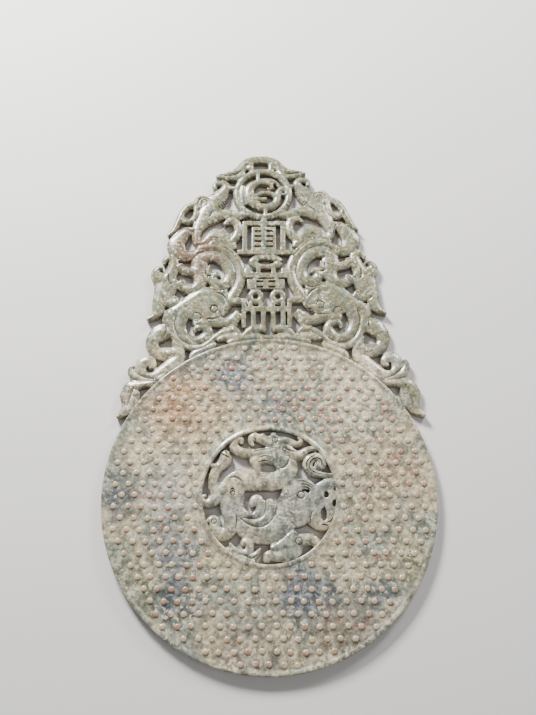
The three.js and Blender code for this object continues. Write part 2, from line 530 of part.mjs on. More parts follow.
const strokeSolids = () => STROKE_ROWS.flatMap(({ centre, y, rows }) => {
  const cuts = [];
  for (let row = 0; row < rows; row += 1) {
    for (const side of [-1, 1]) {
      const floor = OPENWORK_THICKNESS - STROKE_DEPTH;
      const top = OPENWORK_THICKNESS + GROOVE_RISE;
      cuts.push(block(centre + side * 4, y - row * STROKE_ROW_PITCH, ...STROKE_HALF, floor, top));
    }
  }
  return cuts;
});

// ---------------------------------------------------------------- assembly

// the right half was carved a little narrower and higher, though not beside the disc's rim
const mirrored = (points) => points.map(([x, y, ...rest]) => {
  const away = axisAt(y) - x;
  const rise = Math.min(RIGHT_RISE, Math.max(0, 0.14 * (away - 12)));
  const clear = Math.min(1, Math.max(0, (Math.hypot(x, y) - 100) / 20));
  return [axisAt(y) + RIGHT_SHARE * away, y + rise * clear, ...rest];
});

function openworkSolid() {
  const bands = [...CREST_HALF, ...CREST_HALF.map(mirrored), ...HOLE_DRAGON, ...RING_DRAGON];
  const bosses = [...CREST_HALF_BOSSES, ...mirrored(CREST_HALF_BOSSES), ...HOLE_BOSSES, RING];
  const sheet = joined([...bands.flatMap(bandSolids), ...bosses.map((numbers) => boss(...numbers))]);
  const openings = joined(HOLE_OPENINGS.map((numbers) => boss(...numbers)));
  const lines = [...CREST_HALF_GROOVES, ...CREST_HALF_GROOVES.map(mirrored), ...HOLE_GROOVES];
  const cuts = joined([...lines.map(groove), ...strokeSolids()]);
  return plainSheet(sheet.subtract(openings)).add(joined(columnSolids())).subtract(cuts);
}

const solid = discSolid().add(grainSolid()).add(openworkSolid());
const geometry = toGeometry(solid);
geometry.translate(0, -((CREST_TOP * MODULE - DISC_RADIUS) / 2), 0);

const nephrite = new THREE.MeshStandardMaterial({ color: 0xb3ae98, roughness: 0.35, metalness: 0 });
const disc = new THREE.Mesh(geometry, nephrite);
disc.name = 'jade_bi_disc';

const group = new THREE.Group();
group.add(disc);

export default group;
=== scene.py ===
"""A jade bi disc with an openwork crest, lying on its plain back.

One slab of nephrite carries a disc with rims and grain bosses, a dragon coiled in the disc's
hole, and a pierced crest with a climbing dragon on either side of a fret column. Plan shapes
are laid out in modules: one hundredth of the disc's radius, measured from the disc's centre.
"""

import json  # noqa: E402
import logging  # noqa: E402
import math  # noqa: E402
from dataclasses import dataclass  # noqa: E402
from enum import Enum  # noqa: E402
from typing import Iterable, Optional, Sequence  # noqa: E402

import bmesh  # noqa: E402
import bpy  # noqa: E402
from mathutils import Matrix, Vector  # noqa: E402

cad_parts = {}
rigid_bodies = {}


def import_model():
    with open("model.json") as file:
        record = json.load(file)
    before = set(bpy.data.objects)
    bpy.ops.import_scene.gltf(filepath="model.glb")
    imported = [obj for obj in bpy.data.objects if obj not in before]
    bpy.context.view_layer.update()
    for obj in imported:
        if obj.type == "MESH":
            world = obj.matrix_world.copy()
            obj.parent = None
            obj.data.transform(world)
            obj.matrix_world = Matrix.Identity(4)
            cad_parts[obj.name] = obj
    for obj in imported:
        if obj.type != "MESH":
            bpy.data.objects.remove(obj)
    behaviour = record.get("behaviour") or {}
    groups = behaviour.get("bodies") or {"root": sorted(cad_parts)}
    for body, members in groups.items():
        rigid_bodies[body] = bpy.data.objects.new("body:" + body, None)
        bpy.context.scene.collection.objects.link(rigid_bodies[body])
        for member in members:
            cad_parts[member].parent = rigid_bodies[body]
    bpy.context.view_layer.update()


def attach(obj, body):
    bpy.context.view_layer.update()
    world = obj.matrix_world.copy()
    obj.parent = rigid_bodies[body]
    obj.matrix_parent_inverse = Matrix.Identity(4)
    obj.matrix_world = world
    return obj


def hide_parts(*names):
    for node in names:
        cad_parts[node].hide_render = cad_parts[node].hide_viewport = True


LOG = logging.getLogger("jade_bi_disc")

MM = 0.001
Point = tuple[float, ...]
Path = Sequence[Point]


# ---------------------------------------------------------------- the slab's layout


@dataclass(frozen=True)
class Slab:
    """The driving sizes of the carving, in metres unless they say modules."""

    disc_radius: float = 90 * MM
    disc_thickness: float = 5.2 * MM
    openwork_thickness: float = 5.0 * MM
    column_thickness: float = 4.8 * MM
    crest_top: float = 238.5  # modules above the disc's centre
    hole_radius: float = 39.8  # modules
    axis_lean: float = 0.045  # the crest's axis leans a little to the left
    axis_zero: float = 104.0  # modules: where the axis crosses the disc's own
    right_share: float = 0.97  # how wide the crest's right half is beside the left
    right_rise: float = 4.2  # modules: the most that it lies higher
    rise_slope: float = 0.14  # how fast it rises away from the axis
    rise_start: float = 12  # modules from the axis
    rim_reach: float = 20  # modules beyond the disc's rim over which the rise sets in

    @property
    def module(self) -> float:
        """One hundredth of the disc's radius."""
        return self.disc_radius / 100

    @property
    def centre_y(self) -> float:
        """The disc's centre in the frame, whose origin is under the middle of the carving."""
        return -(self.crest_top * self.module - self.disc_radius) / 2

    def at(self, x: float, y: float, up: float = 0.0) -> Vector:
        """Turns a place in modules into one in the frame.

        Args:
            x: Modules to the right of the disc's centre.
            y: Modules from the disc's centre towards the crest.
            up: Metres above the underside.

        Returns:
            The place in metres.
        """
        return Vector((x * self.module, self.centre_y + y * self.module, up))

    def axis_at(self, y: float) -> float:
        """Gives how far right of the disc's centre the crest's axis runs, in modules.

        Args:
            y: Modules from the disc's centre.

        Returns:
            Modules to the right.
        """
        return self.axis_lean * (self.axis_zero - y)

    def mirrored(self, points: Iterable[Point]) -> list[Point]:
        """Turns points over the crest's axis to its right half, a little narrower and higher.

        Args:
            points: Tuples that start with x and y.

        Returns:
            The same tuples on the other side.
        """
        other = []
        for x, y, *rest in points:
            away = self.axis_at(y) - x
            rise = min(self.right_rise, max(0.0, self.rise_slope * (away - self.rise_start)))
            clear = min(1.0, max(0.0, (math.hypot(x, y) - 100) / self.rim_reach))
            other.append((self.axis_at(y) + self.right_share * away, y + rise * clear, *rest))
        return other


SLAB = Slab()


# ---------------------------------------------------------------- the forms
# Strands are lists of (x, y, half width), bosses are (x, y, radius, radius) and lines are lists
# of (x, y), all in modules. The crest is given by its left half.

HOLE_DRAGON = (
    # head, neck, the turn over the shoulder and the belly
    ((-9.8, 30.3, 0.9), (-11.2, 32.3, 1.5), (-10.3, 35.8, 2.4), (-6, 34.8, 2.8), (-1, 33, 3.4),
      (4, 31.5, 5.5),
      (5, 26, 6), (7.5, 22, 5.8), (10.8, 17, 6.6), (9.5, 11.5, 6), (3.5, 8.5, 5.8), (-4, 8.4, 5.8),
      (-11, 9, 6.6), (-17.5, 8.7, 7.2), (-22.3, 4, 7.6), (-22, -3.5, 7.5), (-21, -10, 7),
      (-15.5, -16.8, 6.8), (-7.5, -21.2, 7.3), (0.5, -20.4, 7.8), (7.5, -15, 8.4), (12.5, -8, 9),
      (17, 0, 9.8)),
    # lower jaw with its hooked end, and the beard
    ((1, 26.5, 3), (-6, 25.8, 2.8), (-13, 25.5, 2.8), (-19, 27, 3.1), (-21.8, 30.5, 2.8), (-20, 34.6, 2.7),
      (-17.2, 33.7, 1.9), (-16.8, 31.6, 1)),
    ((-3, 22.5, 3.6), (-8, 21.4, 3.9), (-7.3, 17.8, 2.7), (-6.8, 13.5, 1.4)),
    # ear and mane
    ((7, 33.5, 2.5), (11, 33.6, 2), (14.5, 31.9, 2), (17.5, 31.2, 1.8), (19.4, 33, 1.4), (18.6, 35, 1),
      (17.2, 34.9, 0.5)),
    ((6, 28.5, 4), (11, 27.7, 3.3), (15.5, 24.3, 3.1), (19, 24.6, 2.9), (22, 27.2, 2), (25.5, 28.6, 1.5),
      (28.5, 28, 1.3)),
    # the two lobes of the wing
    ((-9.3, -7, 0.7), (-10.3, -5, 2), (-7.7, -2.6, 3.3), (-5, -5.4, 3), (-5.6, -9.2, 2.9),
      (-9.3, -11.8, 2.2), (-13.5, -11.6, 2.4), (-18, -8.5, 3)),
    ((-0.4, -3.8, 3), (1.2, -7.2, 3), (-0.6, -11.8, 2.9), (-4.4, -14.8, 2.5),
      (-8.6, -16, 2.4), (-13.6, -14.8, 2.4), (-18.5, -10, 2.5)),
    # upper foreleg, its toe and its heel
    ((-26, 4, 5), (-31.5, 3, 4.3), (-33.4, 8, 3.2), (-33, 13, 3), (-30.8, 16.6, 3.1), (-27.4, 20, 3.9),
      (-26.3, 23.6, 3.6)),
    ((-31, 17.5, 2), (-34.5, 18, 1.5), (-38, 18.5, 1.6)),
    ((-28, 2, 4), (-31.8, -1.2, 4), (-34.5, -4, 3.4), (-38, -4.6, 2.5), (-40.2, -2.6, 1.7),
      (-39.2, -0.4, 1.1),
      (-37.4, -0.2, 0.6)),
    # lower foreleg
    ((-22, -8, 5.5), (-21.6, -14, 4.9), (-22.8, -19.2, 4.6), (-26.2, -22.6, 4.3), (-30.4, -21.9, 3.9),
      (-32.2, -19, 3.5), (-32.2, -15.6, 3.7), (-33.6, -14.2, 2.8), (-35.8, -14.8, 1.7), (-37.4, -16, 0.9)),
    # leaf scroll at the foot
    ((-23, -27.6, 0.3), (-22.1, -30, 1.6), (-18.5, -32.8, 2.2), (-13.6, -33.3, 2.3), (-11.3, -30.2, 2.4),
      (-12.8, -27, 2.3), (-15.3, -27.6, 1.8), (-15.5, -29.6, 0.7)),
    ((-25, -31.3, 1.5), (-19, -35, 1.8), (-13, -37.4, 2), (-9, -38.6, 1.5)),
    ((-5, -30.6, 0.3), (-6.4, -33, 1.5), (-9.3, -35.3, 2), (-13, -36.8, 1.8)),
    # hind leg: upper and lower toes
    ((1.6, -30.4, 1.9), (6, -29.6, 3.6), (11, -26, 5), (14.6, -22.8, 3.6)),
    ((11, -28, 5), (17.5, -27, 4.6), (22.2, -25.6, 3.5), (26, -26.4, 3.3), (28, -29, 2.2),
      (27, -31.4, 1.1)),
    ((12, -26, 5.5), (13.5, -31.5, 6), (9, -34.7, 4.2), (3.5, -35.3, 2.8), (-0.5, -35, 3),
      (-1.8, -38, 1.9)),
    # rump and hind foot, joined to the disc
    ((20, -6, 9), (26, -4, 7), (30.5, 1.5, 6), (33.5, 5.5, 4.5), (37.5, 7.5, 3.5), (41, 8, 3)),
    ((24, -8, 6), (27.5, -14.5, 5.2), (31, -17, 4), (34.8, -14.8, 3), (36.6, -10, 2.8), (36.5, -5, 3.5),
      (37.5, 1, 4)),
    # tail coiled beside the neck
    ((28.4, 19.3, 1), (29.3, 17.3, 2.4), (31.7, 18.6, 2.9), (31.3, 22.2, 2.8), (27.8, 23.4, 2.6),
      (24.3, 21.6, 2.9), (23, 17.8, 3), (25, 14, 2.4), (29.5, 12.5, 1.8), (34, 12.1, 1.6), (39, 11.8, 1.5)),
)

HOLE_BOSSES = (
    (19.3, -1, 11.2, 11.6, 0.1 * MM), (-9, 37.2, 2), (-4, 36.3, 1.9), (2.4, 36.8, 1.9), (-26.8, 24.6, 3.3),
    (1, 23.5, 6.5, 5), (36, -2, 4.5, 7), (16.5, -10.4, 8.4, 8.8),
)

HOLE_LINES = (
    # shoulder, cheek, wings, lower leg and rump
    ((-24.5, 10.3), (-20, 11), (-16.5, 8.5), (-14.8, 4.5)),
    ((4, 16.3), (8, 16.5), (11.3, 19.5), (12.2, 23.5)),
    ((-15.8, -13), (-8.9, -13.9), (-4.4, -12.3), (-2.1, -8.3), (-2.3, -3.9), (-2.6, -1.5)),
    ((-16.9, -13.6), (-12.3, -17), (-6.7, -18.6), (-1, -16.8), (3, -11.7), (4.5, -7.5), (4, -4)),
    ((-20, -20), (-19.2, -16), (-19.4, -11.5)),
    ((13, -15.5), (16.5, -19)),
    ((2.5, -28.4), (7, -25.4), (12.5, -19.8)),
    ((24.4, -17), (24, -13.5), (25.6, -9)),
    ((-14, -35), (-10, -36.4), (-7, -34.5)),
    ((-9.5, 26.5), (-4, 28.2), (1, 28)),
    ((8, 29.5), (13, 27), (17, 26.8)),
)

HOLE_FINE_LINES = (
    # the tail's, the rump's, the paws', the beard's and the face's striations
    ((31, 18), (31.8, 20.5), (29.5, 22.6), (26.4, 22), (24.4, 19.3), (24.4, 16.4), (27.5, 13.8),
      (38, 11.9)),
    ((28, 24.6), (24.4, 22.8), (22.3, 19), (23, 15)),
    ((17, 9), (21.5, 8.6), (25.5, 6.6)),
    ((18.5, 6.9), (22, 6.7), (25.5, 4.8)),
    ((18.6, 5), (22, 5), (25, 3.4)),
    ((33, -16), (36, -15), (37.5, -12.5)),
    ((31, -17), (34.5, -17.5)),
    ((-29.3, 25.6), (-27, 24.2), (-24.6, 23.2), (-23, 21)),
    ((-26.6, 27), (-25.4, 24.8)),
    ((-23.5, 3.2), (-21.8, 4.2), (-20.5, 3)),
    ((-6.5, 22.8), (-3.5, 24), (1, 23.5)),
    ((-6.8, 20), (-3.4, 21.3), (1, 20.5)),
    ((-9.5, 31.8), (-8.2, 33.8), (-9.2, 35.2)),
    ((9, 24.5), (12, 24), (14, 21.6)),
)

HOLE_KNOBS = (
    (3.6, 33.7, 1.7), (9.4, 28.6, 1.4), (18.9, 0.2, 2.1), (17.2, -26.6, 2), (-21.8, 1.4, 1.3),
      (-32.6, -15.4, 1.5),
)

CREST_HALF = (
    # head, throat and foreleg
    ((-30.5, 211.5, 3.2), (-33.5, 206, 5.6), (-38.5, 200, 7.2), (-42.5, 193, 6.8), (-46, 186, 5.6),
      (-48.3, 179.5, 3.8), (-49.2, 174, 2.8), (-48, 169.3, 2.8), (-44, 169.8, 2.7), (-40.5, 173.2, 3.8),
      (-35.5, 175.3, 5.8), (-30, 172.5, 5.4), (-25.5, 168.8, 3.4), (-23, 165.8, 1.8)),
    # lower jaw
    ((-42, 187, 3.8), (-39, 188.8, 4.2), (-33.5, 191.3, 3.8), (-27, 192, 3.5), (-21.5, 190.3, 3.2),
      (-16, 191, 2.2)),
    # curled snout and the lip's tie to the ring
    ((-29.8, 211.5, 3.1), (-30.3, 215, 2.7), (-33.7, 216.2, 2.1), (-37.2, 215, 1.9), (-37.6, 212, 1.4),
      (-36.2, 211, 0.7)),
    ((-29, 212.6, 1.6), (-26, 212.2, 1.6), (-22.5, 211.6, 1.6)),
    # brow running into the horn, and the ear below it
    ((-42.5, 202, 2.6), (-46.5, 203.4, 3.5), (-51, 199.6, 2.3), (-56, 197.3, 2.3), (-59.3, 192.5, 2.3),
      (-61.3, 187, 2.2), (-63.2, 181.5, 2), (-65.8, 177, 1.7), (-68.6, 174.9, 0.5)),
    ((-50, 198, 1.6), (-50, 192.5, 1.7), (-51.5, 188, 2), (-54.8, 185.6, 2.2), (-58, 187, 2),
      (-59.5, 190, 1.6)),
    # neck
    ((-51.5, 179.5, 2.5), (-56.5, 177.8, 4), (-60, 173.5, 5), (-62.5, 168, 6.2), (-60.5, 162.6, 5.8),
      (-56, 160, 4.3), (-50.5, 160.5, 3.8), (-46, 163.5, 3)),
    # paw raised under the jaw
    ((-25, 171, 3), (-22, 175.5, 3), (-21, 180.5, 2.6), (-22.3, 185, 2.8), (-26, 186.6, 2.2),
      (-29.2, 185, 1.8), (-30.4, 183.4, 0.9)),
    # the great scroll of the body: outer fold, then inner fold
    ((-47, 165, 2.2), (-43, 166.3, 2.4), (-37, 166.6, 2.6), (-31, 165.3, 2.7), (-25.5, 161.5, 3),
      (-21, 156, 3), (-18.7, 150, 3.2), (-18.8, 143.5, 3.3), (-20.5, 137, 3.6), (-23.5, 131, 3.8),
      (-26, 126, 3.5)),
    ((-46.5, 150, 5.5), (-46.3, 155.5, 4.6), (-42.5, 159.3, 4.4), (-36.5, 160, 4.5), (-30.5, 157, 4.6),
      (-26.3, 151.5, 4.6), (-25.2, 146, 4.6), (-27.5, 140.5, 4.3), (-32.5, 138.5, 3.9), (-36.7, 141, 3.4),
      (-37, 144.8, 2.6), (-34.6, 146.3, 1.9), (-32.9, 145, 1)),
    # limb down to the paw, its spur and the claw beside it
    ((-47, 157, 4.8), (-46.2, 150, 6), (-45, 143, 5), (-46.7, 138, 4.2), (-50.5, 135.3, 3.6),
      (-55, 136, 3.4), (-58.3, 138.8, 3), (-58, 141, 1.5)),
    ((-40.5, 146, 1.8), (-40, 150, 1.2), (-39.6, 152.3, 0.3)),
    ((-48, 148.5, 4), (-53, 148.1, 3.1), (-57.5, 149.6, 3.2), (-60, 152, 1.8), (-58.5, 153.3, 0.9),
      (-57, 152.9, 0.4)),
    # small beast climbing the outer edge: body and tail, then its three curls
    ((-63.3, 156.5, 2.9), (-63.8, 151, 4), (-65.5, 145.5, 4.6), (-67.4, 138.5, 7.3), (-69.3, 132, 7),
      (-72, 126, 4.3), (-72.3, 120.5, 4.2), (-74.6, 116.3, 2.6), (-79.4, 113.6, 0.6)),
    ((-63.6, 154, 2.8), (-64.6, 157.4, 2.5), (-67.6, 158, 2), (-69.7, 155.7, 1.7), (-69.8, 153.3, 0.8)),
    ((-69, 142.5, 4), (-73.5, 144.3, 4.5), (-75, 148, 2.8), (-73, 150.6, 1.6), (-71, 150.8, 0.8)),
    ((-67.5, 131, 3), (-67, 126.5, 2.8), (-63.8, 124.6, 2.6), (-60.8, 126.3, 2.3), (-61.2, 129, 1.3),
      (-62.6, 129.5, 0.5)),
    # haunch: the back's outer fold, the leg with its foot, and the tie at the heel
    ((-63.5, 118, 3.5), (-57.5, 122.5, 4.3), (-51, 127.5, 4.3), (-44, 131.8, 4.8), (-36.5, 132.5, 4.5),
      (-30, 129.5, 4.8), (-27.5, 124.5, 3.5), (-28.8, 120.5, 2.4)),
    ((-44, 118, 6), (-37.5, 114, 5), (-31.5, 111.5, 3.6), (-26.5, 112, 3.6), (-22.8, 114.3, 4),
      (-21.3, 117, 3.6), (-21.2, 118.8, 1.8)),
    ((-22, 113, 2.5), (-22.3, 109.5, 1.5), (-23, 107, 1.5)),
    ((-25, 127, 2.7), (-20.5, 126.5, 2.6), (-16, 127, 2)),
    # tail: inner fold curling under the haunch, outer fold running on to the disc's top
    ((-56, 119, 5), (-58, 112.5, 4.8), (-57.3, 106, 4.3), (-54.3, 101.5, 3.7), (-49.5, 99.3, 3.2),
      (-44.5, 99.3, 3.4), (-40, 102.5, 3.9), (-39.5, 106.3, 3), (-42.8, 108.2, 2.3), (-46.3, 108, 2.2),
      (-48, 105.8, 1.3), (-47.3, 104.3, 0.5)),
    ((-64, 119, 3.6), (-65, 113.5, 4.4), (-62.5, 106, 3), (-59.8, 100.3, 2.4), (-55.7, 96.3, 2.3),
      (-50.5, 94.1, 2.1), (-44.5, 94.3, 2), (-39.5, 97, 2.1), (-35, 101, 2.1), (-30.5, 104.5, 2.4),
      (-26, 106.2, 2.3), (-21.8, 106.3, 2), (-19.8, 104.4, 1.4), (-20.5, 102.6, 0.8)),
    # ties between the tail and the disc
    ((-50.2, 87, 0.8), (-48.4, 89.6, 2.2), (-42, 92.6, 2.6), (-37, 95.2, 2.4), (-34.3, 96.8, 0.8)),
    ((-33, 99.5, 1.2), (-29, 101.3, 2.6), (-24, 101.6, 3.2), (-18, 101.5, 2.6)),
    ((-26.5, 97.6, 0.8), (-22.5, 99.4, 2.2), (-16, 100.4, 2.6)),
    # band along the disc's shoulder, coiling at its end
    ((-61, 98, 1.8), (-57.8, 93.5, 3.2), (-57.3, 87.5, 4), (-61.5, 83, 4.5), (-67, 78.8, 4.2),
      (-72, 75.4, 3.2), (-77.2, 75.4, 2.3), (-80.8, 78.3, 3.3), (-81.1, 82.6, 3.8), (-77.6, 85.1, 3.8),
      (-74.2, 83.5, 3), (-73.8, 81, 1.9), (-75.3, 80.2, 0.9)),
    ((-58.5, 82.4, 0.8), (-64, 77.5, 2.5), (-69, 73.6, 2.5), (-76, 72.6, 1.3), (-82, 73.3, 1.8),
      (-86.3, 76.3, 2.5), (-87.4, 79.7, 1.8), (-86.3, 81.9, 0.8)),
    # hanging fin at the end
    ((-71, 71, 1), (-75, 70.2, 2.2), (-81, 69.2, 2.5), (-86, 67.5, 4.9), (-87, 63.5, 6.4),
      (-86.6, 59, 6), (-87.8, 54.5, 4.4), (-90.6, 51, 2.6), (-94, 48.2, 1)),
    # scroll outside the tail
    ((-63.5, 105, 3.8), (-69, 104.7, 6.4), (-74, 100.5, 4.8), (-74.8, 95.5, 4.1), (-71.5, 90.8, 3.9),
      (-66.5, 90, 4.7), (-61, 91.2, 3.6)),
    # leaf beside the arch, and the arch's curl with its tie to the ring
    ((-19, 229, 3), (-24, 225.3, 2.4), (-29, 223.6, 1.7), (-34, 222.4, 1)),
    ((-19, 221.5, 2.8), (-24, 220.8, 2.3), (-30, 220.8, 2), (-35, 221.3, 1.7), (-36.9, 221.1, 0.6)),
    ((-22, 223.4, 2.5), (-31, 222.2, 1.3)),
    ((-16, 232.5, 2), (-12.8, 230.8, 1.8), (-12.5, 227.5, 1.9), (-11, 224.5, 1.5)),
    # half of the arch over the ring
    ((-20, 221.5, 2.6), (-19.6, 227, 3.2), (-16.5, 232.5, 3.2), (-11, 235.2, 3), (-4.5, 235.6, 2.9)),
    # low scrolls on the disc's top, under the column
    ((-16.5, 102.5, 1), (-14, 105.2, 2.2), (-10.5, 107, 3.1), (-6.5, 107.3, 3.1), (-3.4, 106.9, 1.7),
      (-3.2, 105.2, 0.8)),
    ((-18, 100.9, 2.7), (-9, 101.4, 2.8), (-4.5, 101.1, 2.2), (1, 100.9, 1.9)),
)

CREST_HALF_BOSSES = (
    (-42, 123.3, 16, 11.6, 0.15 * MM), (-57, 140.2, 2.4), (-62.3, 141.3, 2), (-13.7, 228.7, 2.3),
    (-44, 111.5, 6, 4), (-63.5, 126, 4.5, 3.5), (-37, 169.5, 3.5, 2.5), (-30, 134, 3), (-48, 197, 3),
)

CREST_HALF_LINES = (
    # brow, cheek, throat and horn
    ((-40.5, 204), (-43.5, 205), (-47.3, 203.5), (-49.2, 199)),
    ((-47.3, 197), (-48.3, 190), (-50.3, 186), (-54.5, 183)),
    ((-54.5, 180.5), (-51.5, 175), (-50.8, 169), (-48, 166)),
    ((-66, 174.5), (-62.5, 178), (-58.5, 181)),
    ((-36, 194.8), (-39, 192.6), (-41, 189)),
    # folds of the body
    ((-49, 160), (-43, 163.3), (-36, 163.5), (-30, 161), (-24.5, 155), (-22, 148), (-22.8, 140),
      (-26.5, 133.5)),
    ((-34, 169), (-27, 164.3), (-21.5, 158.5)),
    ((-41, 137), (-36.5, 134.9), (-31, 134.6), (-26.3, 136.8)),
    ((-37, 145.5), (-41.5, 145), (-42, 151)),
    # haunch
    ((-35, 133), (-30.5, 131.3), (-27.5, 127.5)),
    ((-40.5, 113.6), (-34, 114.6), (-30, 117.5)),
    # folds of the tail
    ((-59.8, 117), (-61.2, 111), (-60, 105), (-56.7, 99.8), (-51.5, 96.7), (-45.5, 96.2), (-40, 98.8),
      (-36.7, 102)),
    ((-67, 109.5), (-66.3, 105), (-68, 101)),
    ((-86, 80), (-83.5, 77), (-77, 73.8), (-71, 73)),
    # small beast, fin and leaf
    ((-66.5, 146), (-66, 140.5), (-63.7, 138.3)),
    ((-71.5, 126), (-67.5, 122), (-66, 119)),
    ((-84.5, 68), (-86.5, 62), (-88.2, 55)),
    ((-34, 223.2), (-28.5, 222), (-22.5, 223.5), (-19.2, 226)),
)

CREST_HALF_KNOBS = (
    (-44.4, 200.4, 2), (-47, 115.2, 2.9), (-35.8, 120.8, 2.5), (-36.5, 171.6, 2),
    (-64, 90.8, 2.3), (-84.3, 64.3, 2.2),
)

# The biting edge of the upper jaw.
CREST_HALF_TEETH = ((-27.8, 208.8), (-28.8, 204.2), (-31, 200.4), (-34.6, 196.6))

RING_DRAGON = (
    # body: from the tail over the top, down the left side and round to the hooked end
    ((6.8, 213.2, 0.6), (5.2, 216.2, 1.2), (1.5, 218.1, 1.7), (-4, 218.2, 2), (-9.5, 216.2, 2.6),
      (-13.3, 212.5, 3.4), (-14, 207, 4), (-12.3, 202, 3.6), (-8.5, 198.8, 3), (-4, 197.3, 2.7),
      (1, 197.9, 2.8), (4.6, 200.5, 2.8), (5.8, 204.5, 2.5), (6, 208.3, 2.2), (7.8, 211, 2),
      (10.8, 210.9, 1.6), (12.1, 208.7, 1.2), (10.5, 206.9, 1), (8.9, 207.6, 0.6)),
    # claw inside the back, and the limb across its middle
    ((-6, 216.4, 1.5), (-2, 216.3, 1.6), (1, 215, 1.4), (2, 212.8, 1.1), (0.3, 211.2, 0.9),
      (-1.2, 211.8, 0.5)),
    ((-12, 205.6, 2), (-8.5, 206.2, 1.4), (-5.3, 208.4, 1.7), (-1.5, 208.2, 1.7), (2, 207.6, 1.8),
      (4.5, 206, 2)),
    ((-11, 203.4, 1.4), (-6.5, 203.2, 1.5), (-2.4, 203.6, 1.7)),
    # ties to the ring
    ((-7.8, 217, 1.2), (-7.8, 223.5, 1.2)),
    ((-2.6, 198, 1.2), (-2.6, 191, 1.2)),
    ((-18, 213, 2.2), (-18.5, 207, 3.2), (-16.5, 200, 2.6)),
)

HOLE_OPENINGS = (
    (32.3, -11.2, 1.7, 3.6), (34, 0.5, 1.5, 1.9), (38.6, -4.6, 1.2, 2), (20.8, 3, 1.3, 0.8),
      (22.9, 2.5, 1.2, 1.2),
)

COLUMN = (
    {
        "centre": -3.6,
        "bars": ((184.3, 14.4, 1.8), (172.5, 8.2, 9)),
        "posts": ((12.8, 162, 184, 1.7), (0, 182, 188, 1.7)),
        "rings": (),
    },
    {
        "centre": -2.2,
        "bars": ((162.3, 19, 1.9), (145.2, 14.5, 1.9), (138.8, 12.4, 3.7)),
        "posts": ((5, 144, 153, 1.4), (12, 144, 150.8, 1.9), (7, 140, 146, 1.3)),
        "rings": ((0, 155.3, (11.5, 5.3), (6, 2)),),
    },
    {
        "centre": -1.6,
        "bars": ((121, 14.6, 1.9),),
        "posts": ((10.6, 121, 126, 1.3), (4, 121, 126, 1.3), (14.8, 108, 128, 1.5)),
        "rings": ((-7.3, 130, (5.4, 5.4), (1.8, 1.8)), (7.3, 130, (5.4, 5.4), (1.8, 1.8))),
    },
    {
        "centre": -0.6,
        "bars": (),
        "posts": ((3.2, 107, 121, 1.6), (9.6, 107, 121, 1.6)),
        "rings": (),
    },
)

# Rows of short strokes in the panels: the rows' centre, the top row's y and how many rows.
STROKE_ROWS = ((-3.6, 178.3, 4), (-2.2, 140.7, 2))


# ---------------------------------------------------------------- strands


def spline_point(points: Path, t: float) -> Point:
    """Finds a point on the centripetal Catmull-Rom curve through some points.

    Args:
        points: The points, all with the same number of coordinates.
        t: How far along, from 0 to 1.

    Returns:
        The point's coordinates.
    """
    last = len(points) - 1
    span = min(int(last * t), last - 1)
    weight = last * t - span
    here, there = Vector(points[span]), Vector(points[span + 1])
    before = Vector(points[span - 1]) if span > 0 else here * 2 - there
    after = Vector(points[span + 2]) if span + 2 <= last else there * 2 - here
    first, middle, final = (
        math.sqrt((b - a).length) for a, b in ((before, here), (here, there), (there, after))
    )
    middle = middle if middle > 1e-4 else 1.0
    first = first if first > 1e-4 else middle
    final = final if final > 1e-4 else middle
    leave = ((here - before) / first - (there - before) / (first + middle)) * middle + (there - here)
    reach = ((after - there) / final - (after - here) / (middle + final)) * middle + (there - here)
    squared, cubed = weight**2, weight**3
    return tuple(
        here * (2 * cubed - 3 * squared + 1)
        + leave * (cubed - 2 * squared + weight)
        + there * (3 * squared - 2 * cubed)
        + reach * (cubed - squared)
    )


class Profile(Enum):
    """How a strand is shaped across its width."""

    ROUND = "rounded on top, as the dragons' bodies are"
    FLAT = "flat on top with narrow worn edges, as the column's bars are"
    GROOVE = "a cutter for a line with a soft bottom"
    CUT = "a cutter that goes right through"


@dataclass(frozen=True)
class Stop:
    """One place along a strand, with its two edges, in modules."""

    x: float
    y: float
    half_width: float
    right: Vector
    inner_limit: tuple[float, float]  # the most that the right and the left side may reach


